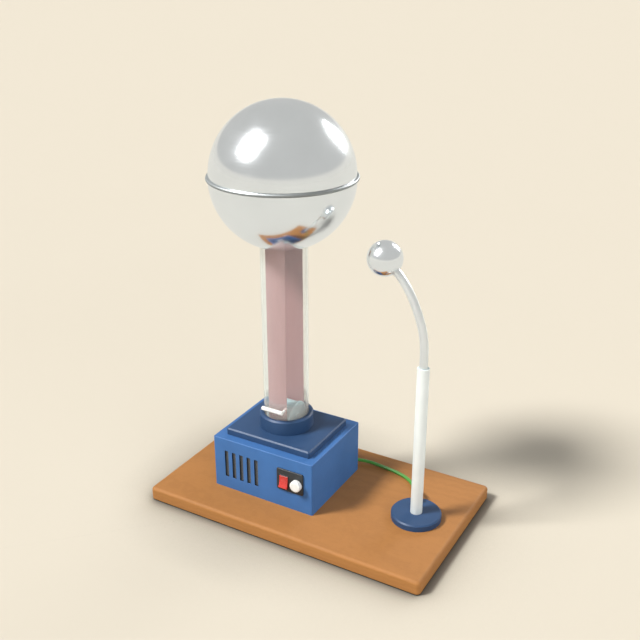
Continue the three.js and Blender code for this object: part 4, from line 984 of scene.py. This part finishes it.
sb = PANEL_Y - 0.6
make("switch_case", boolean(merge(
    stack(rect(ROCK_X - 9.2, ROCK_X + 9.2, ROCK_Z - 12.5, ROCK_Z + 12.5, 1.2, 4), [(sb, -0.55), (sb + 0.1, -0.25), (sb + 0.32, -0.06), (sb + 0.55, 0), (-58, 0)], axis="y")),
    [stack(rect(ROCK_X - 8.2, ROCK_X + 8.2, ROCK_Z - 11.5, ROCK_Z + 11.5, 0.6, 3), [(sb - 2, 0.5), (sb, 0.35), (sb + 0.35, 0), (-74, 0)], axis="y"),
     lathe([(0, ROCK_X - 9), (1.9, ROCK_X - 9), (1.9, ROCK_X + 9), (0, ROCK_X + 9)], 24, "x", (0, ROCK_Y, ROCK_Z))]),
    black, "stand", "switch_body", 34, True)
tabs = make("switch_tabs", merge(*[stack(rect(ROCK_X - 3, ROCK_X + 3, ROCK_Z + s * 6 - 0.4, ROCK_Z + s * 6 + 0.4, 0.2, 2), [(-57.9, 0), (-52.5, 0), (-51, -0.25)], axis="y") for s in (-1, 1)]), tin, "stand")

face_r = (10.4 ** 2 + 1.8 ** 2) / (2 * 1.8)
dish = [(-(5.2 - (1.8 - (face_r - math.sqrt(face_r ** 2 - u ** 2)) * 1.0) + 0.0), u) for u in np.linspace(10.2, -10.2, 25)]
dish = [(-(3.4 + (face_r - math.sqrt(face_r ** 2 - u ** 2))), u) for u in np.linspace(10.25, -10.25, 27)]
rocker_line = fillet([(3.5, 10.0, 0.3), (-5.05, 10.38, 0.0)], 0, False) + dish + fillet([(-5.05, -10.38, 0.0), (3.5, -10.0, 0.3)], 0, False)
rk = stack(rocker_line, edge_levels(-7.8, 7.8, 0.55, None, 4), axis="x")
pin = lathe(fillet([(0, -8.9, 0), (1.5, -8.9, 0.2), (1.5, 8.9, 0.2), (0, 8.9, 0)], 0, False, 2), 24, "x")
spin = Matrix.Rotation(math.radians(-ROCK_TILT), 3, "X")
rk = merge(rk, pin)
make("rocker_red", ([tuple(spin @ Vector(p) + Vector((ROCK_X, ROCK_Y, ROCK_Z))) for p in rk[0]], rk[1]), red, "power_rocker", "rocker", 34)

make("pot", lathe(fillet([
    (3.4, -81.9, 0), (4.7, -81.9, 0.3), (4.7, -76.6, 0.2), (8, -76.6, 0.4), (8, -67.6, 0.4), (7, -66.6, 0.3), (0, -66.6, 0)], 0, False, 3) + [(0, -68), (3.4, -68), (3.4, -81.9)],
    48, "y", (KNOB_X, 0, KNOB_Z)), zinc, "stand", "speed_pot", 34)
make("shaft_pot", lathe(fillet([(0, -88.9, 0), (3, -88.9, 0.4), (3, -68.4, 0.3), (0, -68.4, 0)], 0, False, 3), 32, "y", (KNOB_X, 0, KNOB_Z)), steel, "speed_control", "pot_shaft")


def fluted(r, depth, n, per=6):
    out = []
    for i in range(n * per):
        a = 2 * math.pi * i / (n * per)
        out.append((KNOB_X + (r - depth * (0.5 - 0.5 * math.cos(n * a)) ** 2) * math.cos(a), KNOB_Z + (r - depth * (0.5 - 0.5 * math.cos(n * a)) ** 2) * math.sin(a)))
    return out


knob_levels = [(-83.2, -0.3), (-83.5, 0.0), (-88.9, 0.0), (-89.9, -0.18), (-90.7, -0.75), (-91.25, -1.6), (-91.55, -2.8), (-91.6, -4.2)]
knob_out = stack(fluted(KNOB_R, 0.30, 18), knob_levels[::-1], [], "y")
make("knob_white", boolean(knob_out, [
    lathe([(0, -89.2), (3.3, -89.2), (3.3, -80), (0, -80)], 40, "y", (KNOB_X, 0, KNOB_Z))]),
    white, "speed_control", "knob", 38, True)

CB = dict(x0=-42.0, x1=8.0, y0=-66.0, y1=-30.0, z=37.0, t=1.6)
make("control_pcb", stack(rect(CB["x0"], CB["x1"], CB["y0"], CB["y1"], 1.0, 3), edge_levels(CB["z"], CB["z"] + CB["t"], 0.1, None, 1)), pcb, "stand", "control_board", 34)
make("pcb_relay", stack(rect(CB["x0"] + 4, CB["x0"] + 20, CB["y1"] - 8, CB["y1"] - 2, 0.6, 3), edge_levels(CB["z"] + 1.6, CB["z"] + 10, 0.0, 0.5, 3)), sooty, "stand")
make("pcb_terminal", stack(rect(CB["x1"] - 18, CB["x1"] - 6, CB["y1"] - 10, CB["y1"] - 2, 0.6, 3), edge_levels(CB["z"] + 1.6, CB["z"] + 9, 0.0, 0.5, 3)), pvc, "stand")
make("pcb_capacitor", lathe(fillet([(0, CB["z"] + 1.6, 0), (4, CB["z"] + 1.6, 0.3), (4, CB["z"] + 12, 0.8), (0, CB["z"] + 12, 0)], 0, False, 4), 40, centre=(CB["x0"] + 30, CB["y1"] - 9, 0)), can, "stand")

# ------------------------------------------------------------------ rear face

mouth = fillet([(INLET_X - 12.5, INLET_Z - 8.5, 1.0), (INLET_X + 12.5, INLET_Z - 8.5, 1.0), (INLET_X + 12.5, INLET_Z + 3.6, 0.8), (INLET_X + 8.0, INLET_Z + 8.5, 0.8),
                (INLET_X - 8.0, INLET_Z + 8.5, 0.8), (INLET_X - 12.5, INLET_Z + 3.6, 0.8)], 0, True, 4)
make("inlet", boolean(
    stack(rect(INLET_X - 23, INLET_X + 23, INLET_Z - 13.5, INLET_Z + 13.5, 4.0, 6), [(HY1, 0), (HY1 + 2.2, 0), (HY1 + 2.7, -0.15), (HY1 + 2.93, -0.45), (HY1 + 3.0, -0.9)], axis="y"),
    [(stack(rect(INLET_X - 15, INLET_X + 15, INLET_Z - 11, INLET_Z + 11, 1.0, 3), [(60, 0), (HY1 + 1, 0)], axis="y"), "UNION"),
     (stack(mouth, [(66, 0), (HY1 + 2.2, 0), (HY1 + 3.0, 0.6), (HY1 + 4, 1.2)], axis="y"), "DIFFERENCE")]), black, "stand", "power_inlet", 34, True)
make("inlet_blades", merge(
    *[stack(rect(INLET_X + x - 1, INLET_X + x + 1, INLET_Z + z - 2.5, INLET_Z + z + 2.5, 0.35, 2), [(66.0, 0), (78.6, 0), (79.6, -0.3), (80, -0.6)], axis="y") for x, z in ((-7, 1.5), (0, -2.5), (7, 1.5))],
    *[stack(rect(INLET_X + x - 3, INLET_X + x + 3, INLET_Z - 0.4, INLET_Z + 0.4, 0.15, 2), [(53.0, -0.25), (54.0, 0), (60.0, 0)], axis="y") for x in (-6, 6)]), tin, "stand")

make("post_base", lathe(fillet([
    (2.8, 76.4, 0), (6.0, 76.4, 0.3), (6.0, HY1, 0), (9.5, HY1, 0), (9.5, HY1 + 2.4, 0.6), (8.5, HY1 + 3.4, 0.6), (2.8, HY1 + 3.4, 0.2)], 0, True, 4), 48, "y", (TERM_X, 0, TERM_Z)),
    black, "stand", "terminal_base", 34)


def thread(h0, h1, r, pitch=0.8, depth=0.22, per=4):
    """Profile of a fine thread from h0 to h1."""
    n = max(1, int((h1 - h0) / pitch))
    out = []
    for i in range(n):
        for k, d in ((0.0, 0), (0.35, 0), (0.5, depth), (0.85, depth)):
            out.append((r - d, h0 + (h1 - h0) * (i + k) / n))
    return out


make("post_stud", lathe([(0, 70), (2.3, 70), (2.5, 70.2), (2.5, 71.6), (5.9, 71.6), (6.2, 71.9), (6.2, 75.8), (5.9, 76.1), (2.5, 76.1), (2.5, 84.2)] +
     thread(84.4, 97.0, 2.5) + [(2.4, 97.2), (1.8, 98), (0, 98)], 40, "y", (TERM_X, 0, TERM_Z)), brass, "stand", "terminal_stud", 25)


def knurl(r, depth, n):
    out = []
    for i in range(n):
        for f, d in ((0.0, 0.0), (0.34, 0.0), (0.5, depth), (0.84, depth)):
            a = 2 * math.pi * (i + f) / n
            out.append(((r - d) * math.cos(a), (r - d) * math.sin(a)))
    return out


def thumb_nut(name, axis, centre, r, bore, h0, h1, n, body, node):
    d = 0.5
    lev = [(h0, -1.0), (h0 + 0.25, -0.55), (h0 + 0.9, 0.0), (h1 - 0.9, 0.0), (h1 - 0.25, -0.55), (h1, -1.0)]
    hole = [(h0, 0.35), (h0 + 0.35, 0), (h1 - 0.35, 0), (h1, 0.35)]
    return make(name, stack(knurl(r, d, n), lev, [(circle(0, 0, bore, 36), hole)], axis, centre), brass, body, node, 24)


thumb_nut("post_nut", "y", (TERM_X, 0, TERM_Z), 7.6, 2.8, 86.4, 95.0, 30, "terminal_thumb_nut", "terminal_nut")

# ------------------------------------------------------- discharge ball stand

make("stand_foot", boolean(
    lathe([(0, BOARD_Z1), (WFOOT_R - 0.3, BOARD_Z1), (WFOOT_R, BOARD_Z1 + 0.3)] + [(WFOOT_R, WFOOT_Z1 - 2.0), (WFOOT_R - 2.0, WFOOT_Z1), (0, WFOOT_Z1)],
          144, centre=(WX, WY, 0)),
    [lathe([(0, POST_Z0 - 0.2), (POST_R + 0.25, POST_Z0 - 0.2), (POST_R + 0.25, WFOOT_Z1 - 0.5), (POST_R + 0.8, WFOOT_Z1 + 0.1), (POST_R + 0.8, 60), (0, 60)], 72, centre=(WX, WY, 0)),
     lathe([(0, 20), (2.4, 20), (2.4, 30), (0, 30)], 24, centre=(WX, WY, 0)),
     lathe([(0, 28), (2.4, 28), (2.4, 60), (0, 60)], 32, centre=(*WTERM, 0))]), navy, "stand", "wand_foot", 34, True)
make("stand_post", lathe(fillet([(POST_IN, POST_Z0, 0), (POST_R, POST_Z0, 0.3), (POST_R, POST_Z1, 0.6), (POST_IN, POST_Z1, 0.4)], 0, True, 4), 96, centre=(WX, WY, 0)), post_look, "stand", "wand_post", 34)
make("stand_plug", boolean(lathe(fillet([(0, POST_Z0 + 0.1, 0), (7.6, POST_Z0 + 0.1, 0.4), (7.6, 52, 0.6), (0, 52, 0)], 0, False, 3), 48, centre=(WX, WY, 0)),
     [lathe([(0, 20), (2.4, 20), (2.4, 48), (0, 48)], 24, centre=(WX, WY, 0))]), nylon, "stand", "post_plug", 34)
make("bush", lathe(fillet([(0, 257.5, 0), (7.6, 257.5, 0.5), (7.6, POST_Z1 - 0.4, 0.2), (ARM_R + 0.3, POST_Z1 - 0.4, 0.4), (ARM_R + 0.3, ARM_Z0 - 0.3, 0), (0, ARM_Z0 - 0.3, 0)], 0, False, 4), 64, centre=(WX, WY, 0)),
     nylon, "stand", "arm_bush", 34)

ball_in = (118.8, WY, 443.5)
arm_points = [(WX, WY, ARM_Z0), (WX, WY, 285), (WX, WY, 306), (WX - 0.6, WY, 328), (173.5, WY, 351.0), (166.9, WY, 371.6), (157.8, WY, 393.3), (145.8, WY, 414.4), (129.6, WY, 434.4), ball_in]
arm_line, _ = evenly(smooth_line(arm_points, 12), 80)
make("arm", sweep(arm_line, ARM_R, 40, first=(0, 1, 0)), arm_look, "ball_arm", "wand_arm", 50)
back_dir = (Vector(arm_points[-2]) - Vector(ball_in)).normalized()
ball_profile = [(BALL_R * math.cos(a), BALL_R * math.sin(a)) for a in np.linspace(-math.pi / 2, math.pi / 2, 61)]
ball_profile[0], ball_profile[-1] = (0.0, -BALL_R), (0.0, BALL_R)
q = Vector((0, 0, 1)).rotation_difference(back_dir)
bv, bf = lathe(ball_profile, 96)
bv = [tuple(q @ Vector(p) + Vector(BALL)) for p in bv]
hole = rod_between(Vector(ball_in) - back_dir * 0.8, Vector(ball_in) + back_dir * 30, ARM_R + 0.25, 48)
make("ball", boolean((bv, bf), [hole]), ball_look, "ball_arm", "discharge_ball", 40)

make("stand_stud", lathe([(0, 28.3), (1.6, 28.3), (2.0, 28.7), (2.0, 37.0)] + thread(37.0, 46.3, 2.0, 0.7, 0.18) + [(1.9, 46.5), (1.4, 47.0), (0, 47.0)], 36, centre=(*WTERM, 0)), brass, "stand", "wand_stud", 25)
thumb_nut("stand_nut", "z", (*WTERM, 0), 6.0, 2.3, 37.6, 44.6, 26, "wand_thumb_nut", "wand_nut")

# -------------------------------------------------------------- inside wiring

for name, node, pts, n in (
    ("wire_a", "wire_inlet_switch", [(INLET_X + 6, 52.4, INLET_Z), (INLET_X + 8, 46, 70), (-48, 36, 92), (-36, 8, 101), (-26, -22, 98), (ROCK_X, -44, 86), (ROCK_X, -50.4, ROCK_Z + 6.9)], 60),
    ("wire_b", "wire_switch_board", [(ROCK_X, -50.4, ROCK_Z - 7.7), (ROCK_X - 0.5, -47.2, 62), (-25.5, -38.6, 58), (-29, -35, 53), (-29, -35, 47.5)], 30),
    ("wire_c", "wire_board_motor", [(-4, -35.5, 46.5), (-4, -35.5, 52), (0, -26, 62), (4, -8, 66), (0.5, 0.5, 63), (-5.4, 0.5, 61)], 40),
):
    line, _ = evenly(smooth_line(pts, 10), n)
    make(name, sweep(line, 1.2, 14), wire, "stand", node, 50)

# --------------------------------------------------------------------- screws


def cross(depth, h, wide=0.9, long=5.2):
    """Cutter for a cross recess in a screw head that faces down at height h."""
    out = []
    for a, b in ((long, wide), (wide, long)):
        out.append(stack(rect(-a / 2, a / 2, -b / 2, b / 2), [(h - 1, 0.15), (h, 0.1), (h + depth, -0.25)]))
    return out


for i, (x, y) in enumerate([*bosses, (WX, WY)]):
    tip = 62 if i < 4 else 44
    name, node = (f"screw_{i + 1}", f"housing_screw_{i + 1}") if i < 4 else ("screw_stand", "wand_screw")
    head = lathe([(0, 7.0), (4.0, 7.0), (4.6, 7.5), (4.8, 8.3), (4.8, 10.0), (2.1, 10.7)] + thread(24.0, tip - 2, 2.1, 1.4, 0.35) + [(1.6, tip - 1.6), (0, tip)], 28)
    head = boolean(head, cross(2.2, 7.0))
    make(name, ([(px + x, py + y, pz) for px, py, pz in head[0]], head[1]), steel, "stand", node, 25)

# ---------------------------------------------------------------- stage, light


def by_ray(tree, output, ray, plain, other):
    """other where the light path's output is 1, plain elsewhere."""
    lp = tree.nodes.new("ShaderNodeLightPath")
    m = tree.nodes.new("ShaderNodeMix")
    m.data_type = "RGBA"
    tree.links.new(lp.outputs[ray], m.inputs[0])
    m.inputs[6].default_value, m.inputs[7].default_value = (*plain, 1), (*other, 1)
    tree.links.new(m.outputs[2], output)
    return m


floor_look = Look("floor", (0.590, 0.540, 0.452), 0.9)
floor_look.shader.inputs["Specular IOR Level"].default_value = 0.0
floor_mix = by_ray(floor_look.tree, floor_look.shader.inputs["Base Color"], "Is Glossy Ray", (0.590, 0.540, 0.452), (0.552, 0.538, 0.497))
# painted shade: the floor's colour is darkened by ambient occlusion under and beside the board
near = floor_look.node("ShaderNodeAmbientOcclusion", samples=16)
near.inputs["Distance"].default_value = 0.20
shade = floor_look.node("ShaderNodeMix", data_type="RGBA", blend_type="MULTIPLY")
shade.inputs[0].default_value = 0.95
shade.inputs[6].default_value = (0.590, 0.540, 0.452, 1)
floor_look.link(floor_look.math("POWER", near.outputs["AO"], 2.0), shade.inputs[7])
floor_look.link(shade.outputs[2], floor_mix.inputs[6])
me = bpy.data.meshes.new("floor")
me.from_pydata([(-120, -120, 0), (120, -120, 0), (120, 120, 0), (-120, 120, 0)], [], [(0, 1, 2, 3)])
me.materials.append(floor_look.mat)
floor = bpy.data.objects.new("floor", me)
scene.collection.objects.link(floor)

world = bpy.data.worlds.new("world")
scene.world = world
world.use_nodes = True
back = next(n for n in world.node_tree.nodes if n.type == "BACKGROUND")
sky = by_ray(world.node_tree, back.inputs["Color"], "Is Glossy Ray", (0.27, 0.27, 0.27), (0.60, 0.595, 0.575))
# the sweep behind the table rises a little above the horizon in reflections
way = world.node_tree.nodes.new("ShaderNodeTexCoord")
parts_of = world.node_tree.nodes.new("ShaderNodeSeparateXYZ")
world.node_tree.links.new(way.outputs["Generated"], parts_of.inputs[0])
rise = world.node_tree.nodes.new("ShaderNodeMapRange")
for k, v in (("From Min", 0.085), ("From Max", 0.125)):
    rise.inputs[k].default_value = v
world.node_tree.links.new(parts_of.outputs[2], rise.inputs["Value"])
sweep_mix = world.node_tree.nodes.new("ShaderNodeMix")
sweep_mix.data_type = "RGBA"
world.node_tree.links.new(rise.outputs["Result"], sweep_mix.inputs[0])
sweep_mix.inputs[6].default_value, sweep_mix.inputs[7].default_value = (0.825, 0.796, 0.731, 1), (0.60, 0.595, 0.575, 1)
world.node_tree.links.new(sweep_mix.outputs[2], sky.inputs[7])
# straight behind the table the sweep is as light as the floor
sky_link = back.inputs["Color"].links[0].from_socket
straight = world.node_tree.nodes.new("ShaderNodeMix")
straight.data_type = "RGBA"
looked_at = world.node_tree.nodes.new("ShaderNodeLightPath")
world.node_tree.links.new(looked_at.outputs["Is Camera Ray"], straight.inputs[0])
world.node_tree.links.new(sky_link, straight.inputs[6])
straight.inputs[7].default_value = (0.895, 0.812, 0.668, 1)
world.node_tree.links.new(straight.outputs[2], back.inputs["Color"])


def aim(ob, direction, distance=3.0, target=(0.0, 0.0, 0.25)):
    """Puts a lamp in that direction from the target, shining at it."""
    d = Vector(direction).normalized()
    ob.location = Vector(target) + d * distance
    ob.rotation_mode = "QUATERNION"
    ob.rotation_quaternion = d.to_track_quat("Z", "Y")


def sun(name, direction, strength, angle, colour=(1, 1, 1), gloss=False):
    d = bpy.data.lights.new(name, "SUN")
    d.energy, d.angle, d.color = strength, math.radians(angle), colour
    ob = bpy.data.objects.new(name, d)
    scene.collection.objects.link(ob)
    aim(ob, direction)
    ob.visible_glossy = gloss
    return ob


def card(name, direction, distance, wide, tall, power, colour=(1, 1, 1)):
    """A softbox that shows only in gloss."""
    d = bpy.data.lights.new(name, "AREA")
    d.shape, d.size, d.size_y, d.energy, d.color = "RECTANGLE", wide, tall, power, colour
    ob = bpy.data.objects.new(name, d)
    scene.collection.objects.link(ob)
    aim(ob, direction, distance)
    ob.visible_diffuse = False
    ob.visible_camera = False
    return ob


sun("key", (-0.482, -0.457, 0.7475), 4.27, 14, (1.0, 0.99, 0.965))
sun("fill", (0.85, -0.45, 0.12), 2.45, 60, (0.98, 0.99, 1.0))
sun("rim", (0.15, 0.94, 0.30), 0.9, 30)
card("key_card", (-0.43, -0.52, 0.735), 3.0, 1.0, 1.5, 230)
card("rim_card", (0.26, 0.85, 0.46), 3.0, 0.9, 1.2, 70)
